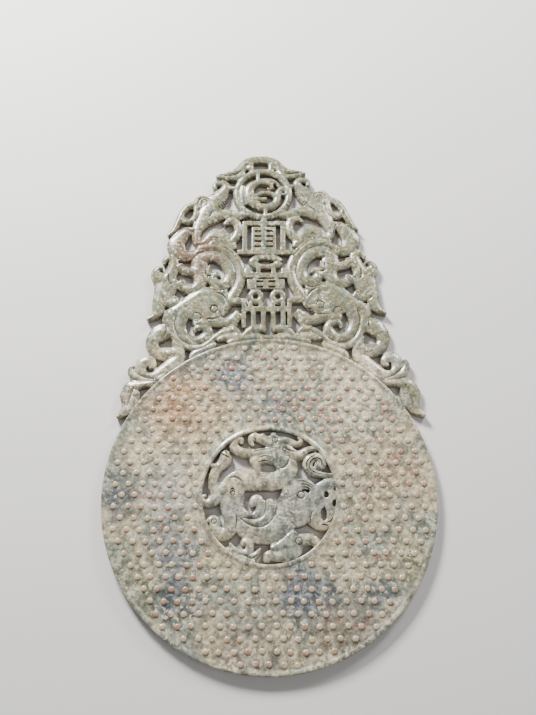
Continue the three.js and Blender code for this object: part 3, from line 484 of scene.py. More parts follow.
@dataclass
class Strand:
    """A band or a cutter that runs along a curve, made as a row of convex solids."""

    points: Path
    profile: Profile = Profile.ROUND
    thickness: float = SLAB.openwork_thickness
    depth: float = 0.7 * MM
    lift: float = 0.3 * MM  # how far a cutter stands above the surface
    edge_radius: float = 1.15 * MM
    crown: float = 0.9 * MM
    spare: float = 0.17  # modules that polishing takes off each side
    turn_step: float = math.radians(14)
    run_step: float = 3.4  # modules
    least_cap: float = 0.7  # modules: an end narrower than this stays as it is
    samples: int = 14
    inner_reach: float = 0.85
    slab: Slab = SLAB

    def fine_points(self) -> list[Point]:
        """Samples the curve through the strand's points."""
        count = self.samples * (len(self.points) - 1)
        return [spline_point(self.points, i / count) for i in range(count + 1)]

    def stops(self) -> list[Stop]:
        """Thins the curve to one stop for each set turn or run, and finds its sides there."""
        fine = self.fine_points()
        kept = [fine[0]]
        heading: Optional[float] = None
        for before, here, after in zip(fine, fine[1:], fine[2:]):
            towards = math.atan2(after[1] - here[1], after[0] - here[0])
            heading = towards if heading is None else heading
            turn = abs(math.remainder(towards - heading, math.tau))
            run = math.hypot(here[0] - kept[-1][0], here[1] - kept[-1][1])
            if turn > self.turn_step or run > self.run_step:
                kept.append(here)
                heading = towards
        kept.append(fine[-1])
        if self.profile is Profile.ROUND and kept[0] != kept[-1]:
            kept = self.cap(kept[1], kept[0])[::-1] + kept + self.cap(kept[-2], kept[-1])
        return [self.stop_at(kept, i) for i in range(len(kept))]

    def cap(self, before: Point, end: Point) -> list[Point]:
        """Rounds off an end.

        Args:
            before: The point next to the end.
            end: The end's point.

        Returns:
            The points beyond the end, outwards.
        """
        along = (Vector(end[:2]) - Vector(before[:2])).normalized() * end[2]
        shares = ((0.3, 0.86), (0.5, 0.5)) if end[2] > self.least_cap else ()
        return [(end[0] + out * along.x, end[1] + out * along.y, end[2] * half) for out, half in shares]

    def stop_at(self, kept: list[Point], i: int) -> Stop:
        """Works out one stop's direction and how far its sides may reach.

        Args:
            kept: The strand's points, one for each stop.
            i: The stop's index.

        Returns:
            The stop.
        """
        here = Vector(kept[i][:2])
        before = Vector(kept[max(i - 1, 0)][:2])
        after = Vector(kept[min(i + 1, len(kept) - 1)][:2])
        along = (after - before).normalized()
        right = Vector((along.y, -along.x))
        sides = (here - before).length * (after - here).length * (after - before).length
        bend = 0.0 if sides == 0 else 2 * (here - before).cross(after - here) / sides
        radius = self.inner_reach / abs(bend) if bend else math.inf
        limits = (radius if bend < 0 else math.inf, radius if bend > 0 else math.inf)
        return Stop(here.x, here.y, kept[i][2], right, limits)

    def section(self, half_width: float) -> list[tuple[float, float]]:
        """Gives the corners across the strand, as shares of the half width and metres up.

        Args:
            half_width: Half the strand's width, in metres.

        Returns:
            Pairs of share and height. The solid is convex, so their order doesn't matter.
        """
        top = self.thickness
        if self.profile is Profile.CUT:
            return [(side, up) for side in (-1, 1) for up in (-self.lift, top + self.lift)]
        if self.profile is Profile.GROOVE:
            floor = top - self.depth
            half = [(1.0, top + self.lift), (0.62, top - 0.45 * self.depth), (0.25, floor)]
            return [(side * share, up) for share, up in half for side in (-1, 1)]
        is_round = self.profile is Profile.ROUND
        edge = min(self.edge_radius if is_round else 0.45 * MM, 0.75 * half_width)
        crown = min(self.crown, 0.22 * half_width) if is_round else 0.0
        chamfer = min(0.3 * MM, 0.3 * half_width)
        half = [(half_width - chamfer, 0.0), (half_width, chamfer)]
        for step in range(4):
            angle = step * math.pi / 6
            half.append(
                (half_width - edge * (1 - math.cos(angle)), top - crown - edge * (1 - math.sin(angle)))
            )
        half += [(0.45 * (half_width - edge), top - 0.2 * crown), (0.0, top)]
        return [(side * across / half_width, up) for across, up in half for side in (-1, 1)]

    def ring(self, stop: Stop) -> list[Vector]:
        """Places the section's corners at one stop, in the frame.

        Args:
            stop: The stop.

        Returns:
            The corners, in metres.
        """
        corners = []
        half_width = stop.half_width + (self.spare if self.profile is Profile.ROUND else 0.0)
        for share, up in self.section(half_width * self.slab.module):
            limit = stop.inner_limit[0 if share > 0 else 1]
            reach = math.copysign(min(abs(share) * half_width, limit), share)
            corners.append(self.slab.at(stop.x + stop.right.x * reach, stop.y + stop.right.y * reach, up))
        return corners

    def solids(self) -> list[list[Vector]]:
        """Lists the strand's convex solids, each as the corners of its hull."""
        rings = [self.ring(stop) for stop in self.stops()]
        return [start + end for start, end in zip(rings, rings[1:])]


@dataclass
class Boss:
    """A low mass with an ellipse for its plan and a softly domed top."""

    x: float
    y: float
    radius_x: float
    radius_y: Optional[float] = None
    rise: float = 0.0  # metres above the openwork's own top
    edge_radius: float = 1.15 * MM
    crown: float = 0.9 * MM
    facets: int = 28
    is_cutter: bool = False
    slab: Slab = SLAB

    def solids(self) -> list[list[Vector]]:
        """Gives the corners of the boss's one convex solid."""
        radius_y = self.radius_x if self.radius_y is None else self.radius_y
        least = min(self.radius_x, radius_y) * self.slab.module
        edge = min(self.edge_radius, 0.6 * least)
        crown = min(self.crown, 0.22 * least)
        top = self.slab.openwork_thickness + self.rise
        levels = [(0.3 * MM, 0.0), (0.0, 0.3 * MM)]
        for step in range(4):
            angle = step * math.pi / 6
            levels.append((edge * (1 - math.cos(angle)), top - crown - edge * (1 - math.sin(angle))))
        levels += [(edge + 0.5 * (least - edge), top - 0.2 * crown)]
        if self.is_cutter:
            levels = [(0.0, -MM), (0.0, top + MM)]
        corners = [] if self.is_cutter else [self.slab.at(self.x, self.y, top)]
        for inset, up in levels:
            across = [r - inset / self.slab.module for r in (self.radius_x, radius_y)]
            for i in range(self.facets):
                angle = math.tau * i / self.facets
                x, y = self.x + across[0] * math.cos(angle), self.y + across[1] * math.sin(angle)
                corners.append(self.slab.at(x, y, up))
        return [corners]


def ellipse_path(x: float, y: float, outer: Point, inner: Point, count: int = 16) -> list[Point]:
    """Lays a strand's points around the ring between two ellipses.

    Args:
        x: The centre, in modules.
        y: The centre, in modules.
        outer: The outer ellipse's two radii.
        inner: The inner ellipse's two radii.
        count: How many points go round.

    Returns:
        Points of x, y and half width, the first given again at the end.
    """
    points = []
    for i in range(count + 1):
        angle = math.tau * (i % count) / count
        middle = [(a + b) / 2 for a, b in zip(outer, inner)]
        half = [(a - b) / 2 for a, b in zip(outer, inner)]
        width = math.hypot(half[0] * math.cos(angle), half[1] * math.sin(angle))
        points.append((x + middle[0] * math.cos(angle), y + middle[1] * math.sin(angle), width))
    return points


# ---------------------------------------------------------------- sub-assemblies


@dataclass
class Disc:
    """The round slab: a rim at the outer edge and at the hole, and a sunk field between them."""

    rim_width: float = 2.2 * MM
    field_sink: float = 0.7 * MM
    edge_round: float = 0.35 * MM
    steps: int = 240
    slab: Slab = SLAB

    @property
    def field_height(self) -> float:
        """How high the sunk field lies."""
        return self.slab.disc_thickness - self.field_sink

    def profile(self) -> list[tuple[float, float]]:
        """Gives the section through one side as pairs of radius and height."""
        inner = self.slab.hole_radius * self.slab.module
        outer = self.slab.disc_radius
        top, low, soft = self.slab.disc_thickness, self.field_height, self.edge_round
        rim = [(0.0, top - 2.2 * soft), (0.3 * soft, top - soft), (soft, top - 0.3 * soft), (2.2 * soft, top)]
        slope = [(self.rim_width - 2.4 * soft, top), (self.rim_width - soft, top - 0.35 * soft)]
        slope += [(self.rim_width + soft, low + 0.5 * soft), (self.rim_width + 2.6 * soft, low)]
        across = rim + slope
        outside = [(outer - inset, up) for inset, up in across]
        inside = [(inner + inset, up) for inset, up in reversed(across)]
        return [(inner, soft), (inner + soft, 0.0), (outer - soft, 0.0), (outer, soft)] + outside + inside

    def build(self) -> bmesh.types.BMesh:
        """Spins the section round the disc's axis.

        Returns:
            The closed ring as a bmesh.
        """
        bm = bmesh.new()
        centre = self.slab.at(0, 0)
        corners = [bm.verts.new(centre + Vector((radius, 0, up))) for radius, up in self.profile()]
        edges = [bm.edges.new((a, b)) for a, b in zip(corners, corners[1:] + corners[:1])]
        bmesh.ops.spin(
            bm,
            geom=corners + edges,
            cent=centre,
            axis=(0, 0, 1),
            angle=math.tau,
            steps=self.steps,
            use_merge=True,
        )
        bmesh.ops.remove_doubles(bm, verts=bm.verts, dist=1e-6)
        bmesh.ops.recalc_face_normals(bm, faces=bm.faces)
        return bm


@dataclass
class Grains:
    """The grain bosses that stand on the disc's field in staggered rows."""

    pitch: float = 8.0  # modules
    row_pitch: float = 6.7
    margin: float = 4.4  # modules between a grain's centre and the edge of the disc
    radius: float = 1.8 * MM
    height: float = 0.8 * MM
    wobble: float = 0.35  # modules that a hand-cut grain strays from its place
    levels: tuple[float, ...] = (-0.5, 0.0, 0.5, 0.85)  # shares of the height where its rings lie
    facets: int = 12
    slab: Slab = SLAB

    def places(self) -> list[tuple[float, float]]:
        """Lists the grains' centres, in modules."""
        nearest = self.slab.hole_radius + self.margin
        farthest = 100 - self.margin
        rows = int(farthest / self.row_pitch)
        count = int(96 / self.pitch) * 2 + 1
        places = []
        for row in range(-rows, rows + 1):
            shift = self.pitch / 2 if row % 2 else 0.0
            for i in range(count):
                x, y = -96 + shift + i * self.pitch, row * self.row_pitch
                if nearest < math.hypot(x, y) < farthest:
                    stray_x = self.wobble * math.sin(12.9 * x + 4.1 * y)
                    stray_y = self.wobble * math.cos(7.7 * x - 9.3 * y)
                    places.append((x + stray_x, y + stray_y))
        return places

    def solids(self, field_height: float) -> list[list[Vector]]:
        """Makes a low dome at each place, with its foot sunk in the field.

        Args:
            field_height: How high the field lies.

        Returns:
            Each grain's convex solid as its corners.
        """
        solids = []
        for x, y in self.places():
            centre = self.slab.at(x, y, field_height)
            height = self.height * (0.86 + 0.14 * math.sin(0.9 * x + 1.7 * y))
            corners = [centre + Vector((0, 0, height))]
            for share in self.levels:
                radius = self.radius * math.sqrt(1 - share * abs(share))
                for i in range(self.facets):
                    angle = math.tau * (i + 0.5 * (share > 0.5)) / self.facets
                    corners.append(
                        centre + Vector((radius * math.cos(angle), radius * math.sin(angle), height * share))
                    )
            solids.append(corners)
        return solids


@dataclass
class HoleDragon:
    """The dragon coiled in the disc's hole."""

    def masses(self) -> list[list[Vector]]:
        """Lists the convex solids of the dragon's body."""
        strands = [Strand(points) for points in HOLE_DRAGON]
        bosses = [Boss(*numbers) for numbers in HOLE_BOSSES]
        return [solid for form in strands + bosses for solid in form.solids()]

    def folds(self) -> list[list[Vector]]:
        """Lists the convex solids of the soft lines, the knobs' rings and the small openings."""
        lines = [groove(points) for points in HOLE_LINES]
        lines += [knob(*numbers) for numbers in HOLE_KNOBS]
        openings = [Boss(*numbers, is_cutter=True, facets=20) for numbers in HOLE_OPENINGS]
        return [solid for form in lines + openings for solid in form.solids()]

    def engraving(self) -> list[list[Vector]]:
        """Lists the convex solids of the crisp lines, some of them at the bottom of soft ones."""
        return engraved([*HOLE_LINES, *HOLE_FINE_LINES], HOLE_KNOBS)


@dataclass
class Crest:
    """The openwork above the disc: two climbing dragons, an arch, and a ring with a small dragon."""

    ring_centre: tuple[float, float] = (-4.4, 207.6)
    ring_outer: float = 20.4
    ring_inner: float = 15.8
    slab: Slab = SLAB

    def both(self, paths: Iterable[Path]) -> list[Path]:
        """Adds the right half's paths to the left half's.

        Args:
            paths: The left half's paths.

        Returns:
            Both halves' paths.
        """
        return [*paths, *(self.slab.mirrored(points) for points in paths)]

    def knobs(self) -> list[Point]:
        """Lists both halves' knobs."""
        return [*CREST_HALF_KNOBS, *self.slab.mirrored(CREST_HALF_KNOBS)]

    def masses(self) -> list[list[Vector]]:
        """Lists the convex solids of both halves, the ring and its dragon."""
        bosses = [*CREST_HALF_BOSSES, *self.slab.mirrored(CREST_HALF_BOSSES)]
        ring = ellipse_path(
            *self.ring_centre, (self.ring_outer,) * 2, (self.ring_inner,) * 2, count=24
        )
        forms = [Strand(points) for points in [*self.both(CREST_HALF), *RING_DRAGON, ring]]
        forms += [Boss(*numbers) for numbers in bosses]
        return [solid for form in forms for solid in form.solids()]

    def folds(self) -> list[list[Vector]]:
        """Lists the convex solids of the soft lines between the bodies' folds."""
        cuts = [groove(points) for points in self.both(CREST_HALF_LINES)]
        cuts += [knob(*numbers) for numbers in self.knobs()]
        return [solid for form in cuts for solid in form.solids()]

    def engraving(self) -> list[list[Vector]]:
        """Lists the convex solids of the crisp lines and the cuts between the teeth."""
        bites = [cut for edge in self.both((CREST_HALF_TEETH,)) for cut in teeth(edge)]
        return engraved(self.both(CREST_HALF_LINES), self.knobs()) + [
            solid for cut in bites for solid in cut.solids()
        ]


@dataclass
class Column:
    """The fret between the dragons: bars, posts, an oval, two rings and two panels.

    It stands in upright stretches, each a little to the left of the one below it.
    """

    stroke_half: tuple[float, float] = (2.3, 0.55 * 1.7)  # modules: half its length and width
    stroke_row_pitch: float = 3.9
    slab: Slab = SLAB

    def bar(self, x: float, y: float, half_x: float, half_y: float) -> Strand:
        """Makes an upright or level bar.

        Args:
            x: The bar's centre, in modules.
            y: The bar's centre, in modules.
            half_x: Half its size across.
            half_y: Half its size up the crest.

        Returns:
            The strand.
        """
        if half_x > half_y:
            points = [(x - half_x, y, half_y), (x + half_x, y, half_y)]
        else:
            points = [(x, y - half_y, half_x), (x, y + half_y, half_x)]
        return Strand(points, Profile.FLAT, thickness=self.slab.column_thickness)

    def masses(self) -> list[list[Vector]]:
        """Lists the convex solids of the whole column."""
        forms = []
        for stretch in COLUMN:
            centre = stretch["centre"]
            forms += [self.bar(centre, y, reach, half) for y, reach, half in stretch["bars"]]
            for x, low, high, half in stretch["posts"]:
                for side in {-x, x}:
                    forms.append(self.bar(centre + side, (low + high) / 2, half, (high - low) / 2))
            for x, y, outer, inner in stretch["rings"]:
                points = ellipse_path(centre + x, y, outer, inner)
                forms.append(Strand(points, thickness=self.slab.column_thickness, edge_radius=0.7 * MM))
        return [solid for form in forms for solid in form.solids()]

    def folds(self) -> list[list[Vector]]:
        """The column has no soft lines."""
        return []

    def engraving(self) -> list[list[Vector]]:
        """Lists the convex solids of the short strokes cut into the panels."""
        solids = []
        for centre, top, rows in STROKE_ROWS:
            for row in range(rows):
                for side in (-1, 1):
                    x, y = centre + side * 4, top - row * self.stroke_row_pitch
                    ends = [(x - self.stroke_half[0], y), (x + self.stroke_half[0], y)]
                    stroke = groove(ends, half_width=self.stroke_half[1])
                    stroke.thickness = self.slab.column_thickness
                    solids += stroke.solids()
        return solids


GROOVE_TURN = math.radians(22)  # a cutter's own turn between its stops


def groove(points: Path, half_width: float = 1.05, depth: float = 1.05 * MM) -> Strand:
    """Makes the cutter of a carved line.

    Args:
        points: The line's points, in modules.
        half_width: Half its width at the surface, in modules.
        depth: How deep it goes.

    Returns:
        The strand, whose ends are narrow unless it is a straight stroke.
    """
    last = len(points) - 1
    tip = 1.0 if last == 1 else 0.45
    path = [(x, y, half_width * (tip if i in (0, last) else 1.0)) for i, (x, y) in enumerate(points)]
    return Strand(path, Profile.GROOVE, depth=depth, turn_step=GROOVE_TURN)


def engraved(lines: Iterable[Path], knobs: Iterable[Point] = ()) -> list[list[Vector]]:
    """Makes the cutters of fine crisp lines.

    Args:
        lines: Each line's points, in modules.
        knobs: Each ringed knob's centre and radius, in modules.

    Returns:
        The convex solids.
    """
    cuts = [groove(points, half_width=0.5, depth=1.3 * MM) for points in lines]
    cuts += [knob(*numbers, half_width=0.42, depth=0.85 * MM) for numbers in knobs]
    return [solid for cut in cuts for solid in cut.solids()]


def knob(x: float, y: float, radius: float, half_width: float = 0.7, depth: float = 0.75 * MM) -> Strand:
    """Makes the cutter of a ring around a knob, such as an eye.

    Args:
        x: The centre, in modules.
        y: The centre, in modules.
        radius: The ring's radius, in modules.
        half_width: Half the ring's width, in modules.
        depth: How deep it goes.

    Returns:
        The strand.
    """
    path = ellipse_path(x, y, (radius + half_width,) * 2, (radius - half_width,) * 2, count=12)
    return Strand(path, Profile.GROOVE, depth=depth, turn_step=GROOVE_TURN)


def teeth(edge: Path, count: int = 8) -> list[Strand]:
    """Makes the cutters of a row of teeth.

    Args:
        edge: The edge they are on, in modules.
        count: How many cuts there are.

    Returns:
        Short strokes across the edge.
    """
    strokes = []
    for i in range(count):
        share = (i + 0.5) / count
        x, y = spline_point(edge, share)
        ahead = Vector(spline_point(edge, min(share + 0.02, 1.0))) - Vector((x, y))
        across = Vector((-ahead.y, ahead.x)).normalized() * 1.1
        ends = [(x - across.x, y - across.y, 0.5), (x + across.x, y + across.y, 0.62)]
        strokes.append(Strand(ends, Profile.GROOVE, depth=2.2 * MM))
    return strokes


# ---------------------------------------------------------------- carving


@dataclass
class Carving:
    """Joins and cuts the solids of every sub-assembly into one piece."""

    name: str = "carved_jade_bi_disc"
    grit: float = 0.36 * MM  # the finest step that polishing leaves in the openwork
    polish_rounds: int = 4
    polish_factor: float = 0.5
    kept_share: float = 0.13  # of the openwork's faces
    sharp_angle: float = math.radians(42)

    def hulls(self, title: str, solids: Iterable[list[Vector]]) -> bpy.types.Collection:
        """Makes a collection with one convex object for each solid.

        Args:
            title: The collection's name.
            solids: Each solid as its corners.

        Returns:
            The collection.
        """
        group = bpy.data.collections.new(title)
        bpy.context.scene.collection.children.link(group)
        for corners in solids:
            bm = bmesh.new()
            verts = [bm.verts.new(corner) for corner in corners]
            result = bmesh.ops.convex_hull(bm, input=verts)
            inside = {item for key in ("geom_interior", "geom_unused") for item in result[key]}
            spare = [item for item in inside if isinstance(item, bmesh.types.BMVert)]
            bmesh.ops.delete(bm, geom=spare, context="VERTS")
            group.objects.link(mesh_object(title, bm))
        return group

    def combine(self, piece: bpy.types.Object, operation: str, solids: Iterable[list[Vector]]) -> None:
        """Joins convex solids to an object, or takes them away from it.

        Args:
            piece: The object, which is in the scene.
            operation: UNION or DIFFERENCE.
            solids: Each solid as its corners.
        """
        group = self.hulls("solids", solids)
        step = piece.modifiers.new("solids", "BOOLEAN")
        step.operation = operation
        step.solver = "MANIFOLD"
        step.operand_type = "COLLECTION"
        step.collection = group
        apply_modifiers(piece)
        for item in list(group.objects):
            bpy.data.objects.remove(item)
        bpy.data.collections.remove(group)

    def polish(self, piece: bpy.types.Object) -> None:
        """Runs the joined bands into each other, as polishing with grit does.

        Args:
            piece: The openwork.
        """
        remesh = piece.modifiers.new("grit", "REMESH")
        remesh.mode = "VOXEL"
        remesh.voxel_size = self.grit
        smooth = piece.modifiers.new("polish", "SMOOTH")
        smooth.factor = self.polish_factor
        smooth.iterations = self.polish_rounds
        thin = piece.modifiers.new("plain places", "DECIMATE")
        thin.ratio = self.kept_share
        apply_modifiers(piece)

    def carve(
        self,
        blank: bmesh.types.BMesh,
        masses: list[list[Vector]],
        folds: list[list[Vector]],
        engraving: list[list[Vector]],
        grains: list[list[Vector]],
    ) -> bpy.types.Object:
        """Makes the openwork, joins it to the disc, engraves it and sets the grains.

        Args:
            blank: The disc.
            masses: The convex solids of the openwork.
            folds: The convex cutters of the lines that polishing softens.
            engraving: The convex cutters of the lines that stay crisp.
            grains: The convex solids of the grains.

        Returns:
            The finished object.
        """
        first = bmesh.new()
        corners = [first.verts.new(corner) for corner in masses[0]]
        bmesh.ops.convex_hull(first, input=corners)
        openwork = mesh_object("openwork", first)
        piece = mesh_object(self.name, blank)
        for item in (openwork, piece):
            bpy.context.scene.collection.objects.link(item)
        self.combine(openwork, "UNION", masses)
        self.combine(openwork, "DIFFERENCE", folds)
        self.polish(openwork)
        join = piece.modifiers.new("openwork", "BOOLEAN")
        join.operation = "UNION"
        join.solver = "MANIFOLD"
        join.object = openwork
        apply_modifiers(piece)
        bpy.data.objects.remove(openwork)
        self.combine(piece, "DIFFERENCE", engraving)
        self.combine(piece, "UNION", grains)
        self.soften(piece)
        return piece

    def soften(self, piece: bpy.types.Object) -> None:
        """Shades the surface smooth but for its crisp edges.

        Args:
            piece: The carved object.
        """
        piece.data.shade_smooth()
        piece.data.set_sharp_from_angle(angle=self.sharp_angle)


def mesh_object(name: str, bm: bmesh.types.BMesh) -> bpy.types.Object:
    """Turns a bmesh into an object and frees it.

    Args:
        name: The object's name.
        bm: The bmesh.

    Returns:
        The object, in no collection yet.
    """
    mesh = bpy.data.meshes.new(name)
    bm.to_mesh(mesh)
    bm.free()
    return bpy.data.objects.new(name, mesh)


def apply_modifiers(piece: bpy.types.Object) -> None:
    """Puts the result of an object's modifiers in its mesh.

    Args:
        piece: The object, in the scene.
    """
    graph = bpy.context.evaluated_depsgraph_get()
    mesh = bpy.data.meshes.new_from_object(piece.evaluated_get(graph))
    piece.modifiers.clear()
    piece.data = mesh


# ---------------------------------------------------------------- finish


def linear(code: str) -> tuple[float, float, float, float]:
    """Turns an sRGB hex colour into linear RGBA.

    Args:
        code: Such as "#B8B09A".

    Returns:
        Red, green, blue and an alpha of 1.
    """
    values = (int(code[i : i + 2], 16) / 255 for i in (1, 3, 5))
    parts = (v / 12.92 if v <= 0.04045 else ((v + 0.055) / 1.055) ** 2.4 for v in values)
    return (*parts, 1.0)


@dataclass(frozen=True)
class Cloud:
    """A patch of another colour in the stone; a few stand for painted light and shade."""

    x: float
    y: float
    radius: float
    colour: str
    strength: float = 0.8


CLOUDS_AND_PAINTED_LIGHT = (
    # tan, cream and warm grey; some of them are partly painted light, marked below
    Cloud(-52, 58, 34, "#CC9B68", 0.66),
    Cloud(70, 14, 42, "#CDB692", 0.6),
    # partly painted light: brightens the disc's top right
    Cloud(50, 66, 40, "#DCD2B4", 0.8),
    Cloud(12, 86, 26, "#D2C6A6", 0.65),
    Cloud(-62, 6, 26, "#C6BFB2", 0.65),
    # this and the next are partly painted shade: darker towards the bottom
    Cloud(42, -74, 38, "#857A6C", 0.75),
    Cloud(-14, -88, 32, "#A29280", 0.6),
    Cloud(-88, 60, 16, "#B79C8A", 0.6),
    # reddish-brown stain, and a painted pool of light on the crest's right-hand head
    Cloud(-50, 162, 26, "#8C5E4A", 0.6),
    Cloud(40, 198, 20, "#CFCAB4", 0.6),
    # slate blue
    Cloud(-90, 0, 20, "#565E66", 0.85),
    Cloud(-56, -30, 24, "#777A80", 0.75),
    Cloud(-52, -58, 26, "#636A70", 0.85),
    Cloud(18, -58, 25, "#5E6979", 0.8),
    Cloud(60, -54, 14, "#586373", 0.7),
    Cloud(-22, 72, 20, "#737A84", 0.8),
    Cloud(2, 52, 18, "#858B8F", 0.6),
    Cloud(-18, -6, 20, "#8D9092", 0.65),
    Cloud(18, -8, 26, "#8F908A", 0.7),
    # olive
    Cloud(-86, -42, 24, "#8A917C", 0.75),
    Cloud(-72, -62, 18, "#777D60", 0.65),
    Cloud(84, -42, 22, "#868768", 0.75),
    Cloud(88, 64, 16, "#88885E", 0.75),
)


@dataclass(frozen=True)
class Paint:
    """A material's nodes and the coordinates that they read."""

    tree: bpy.types.NodeTree
    place: bpy.types.NodeSocket

    def noise(self, size: float, detail: float, output: str = "Fac") -> bpy.types.NodeSocket:
        """Adds a noise whose blotches have a given size.

        Args:
            size: The blotches' size, in metres.
            detail: How many finer octaves it has.
            output: The output's name.

        Returns:
            The output.
        """
        settings = {"Scale": 1 / size, "Detail": detail, "Roughness": 0.55}
        return add(self.tree, "ShaderNodeTexNoise", settings, {"Vector": self.place}).outputs[output]

    def part(self, axis: str) -> bpy.types.NodeSocket:
        """Picks one of the coordinates.

        Args:
            axis: X, Y or Z.

        Returns:
            Its value.
        """
        return add(self.tree, "ShaderNodeSeparateXYZ", {}, {0: self.place}).outputs[axis]

    def vector(
        self, operation: str, settings: dict, links: dict, output: str = "Vector"
    ) -> bpy.types.NodeSocket:
        """Adds a vector operation.

        Args:
            operation: Its name.
            settings: Inputs by index or name.
            links: Sockets by the input's index.
            output: The output's name.

        Returns:
            The output.
        """
        chosen = {"operation": operation, **settings}
        return add(self.tree, "ShaderNodeVectorMath", chosen, links).outputs[output]

    def spread(
        self, value: bpy.types.NodeSocket, low: float, high: float, to_low: float = 0.0, to_high: float = 1.0
    ) -> bpy.types.NodeSocket:
        """Maps a value smoothly from one range to another.

        Args:
            value: The value.
            low: Where the range starts.
            high: Where it ends.
            to_low: The result at low.
            to_high: The result at high.

        Returns:
            The result.
        """
        settings = {"interpolation_type": "SMOOTHSTEP", 1: low, 2: high, 3: to_low, 4: to_high}
        return add(self.tree, "ShaderNodeMapRange", settings, {0: value}).outputs[0]

    def blend(self, settings: dict, links: dict) -> bpy.types.NodeSocket:
        """Mixes two colours.

        Args:
            settings: Fixed inputs by index: 0 the share, 6 and 7 the colours.
            links: Sockets by index.

        Returns:
            The mixed colour.
        """
        return add(self.tree, "ShaderNodeMix", {"data_type": "RGBA", **settings}, links).outputs[2]

    def mix(
        self, share: bpy.types.NodeSocket, base: bpy.types.NodeSocket, colour: str
    ) -> bpy.types.NodeSocket:
        """Lays a colour over another.

        Args:
            share: How much of it shows.
            base: The colour below.
            colour: The hex colour above.

        Returns:
            The mixed colour.
        """
        return self.blend({7: linear(colour)}, {0: share, 6: base})

    def times(
        self, first: bpy.types.NodeSocket, second: bpy.types.NodeSocket | float
    ) -> bpy.types.NodeSocket:
        """Multiplies two values.

        Args:
            first: A socket.
            second: A socket or a number.

        Returns:
            Their product.
        """
        is_number = isinstance(second, (int, float))
        settings = {"operation": "MULTIPLY", **({1: second} if is_number else {})}
        links = {0: first, **({} if is_number else {1: second})}
        return add(self.tree, "ShaderNodeMath", settings, links).outputs[0]


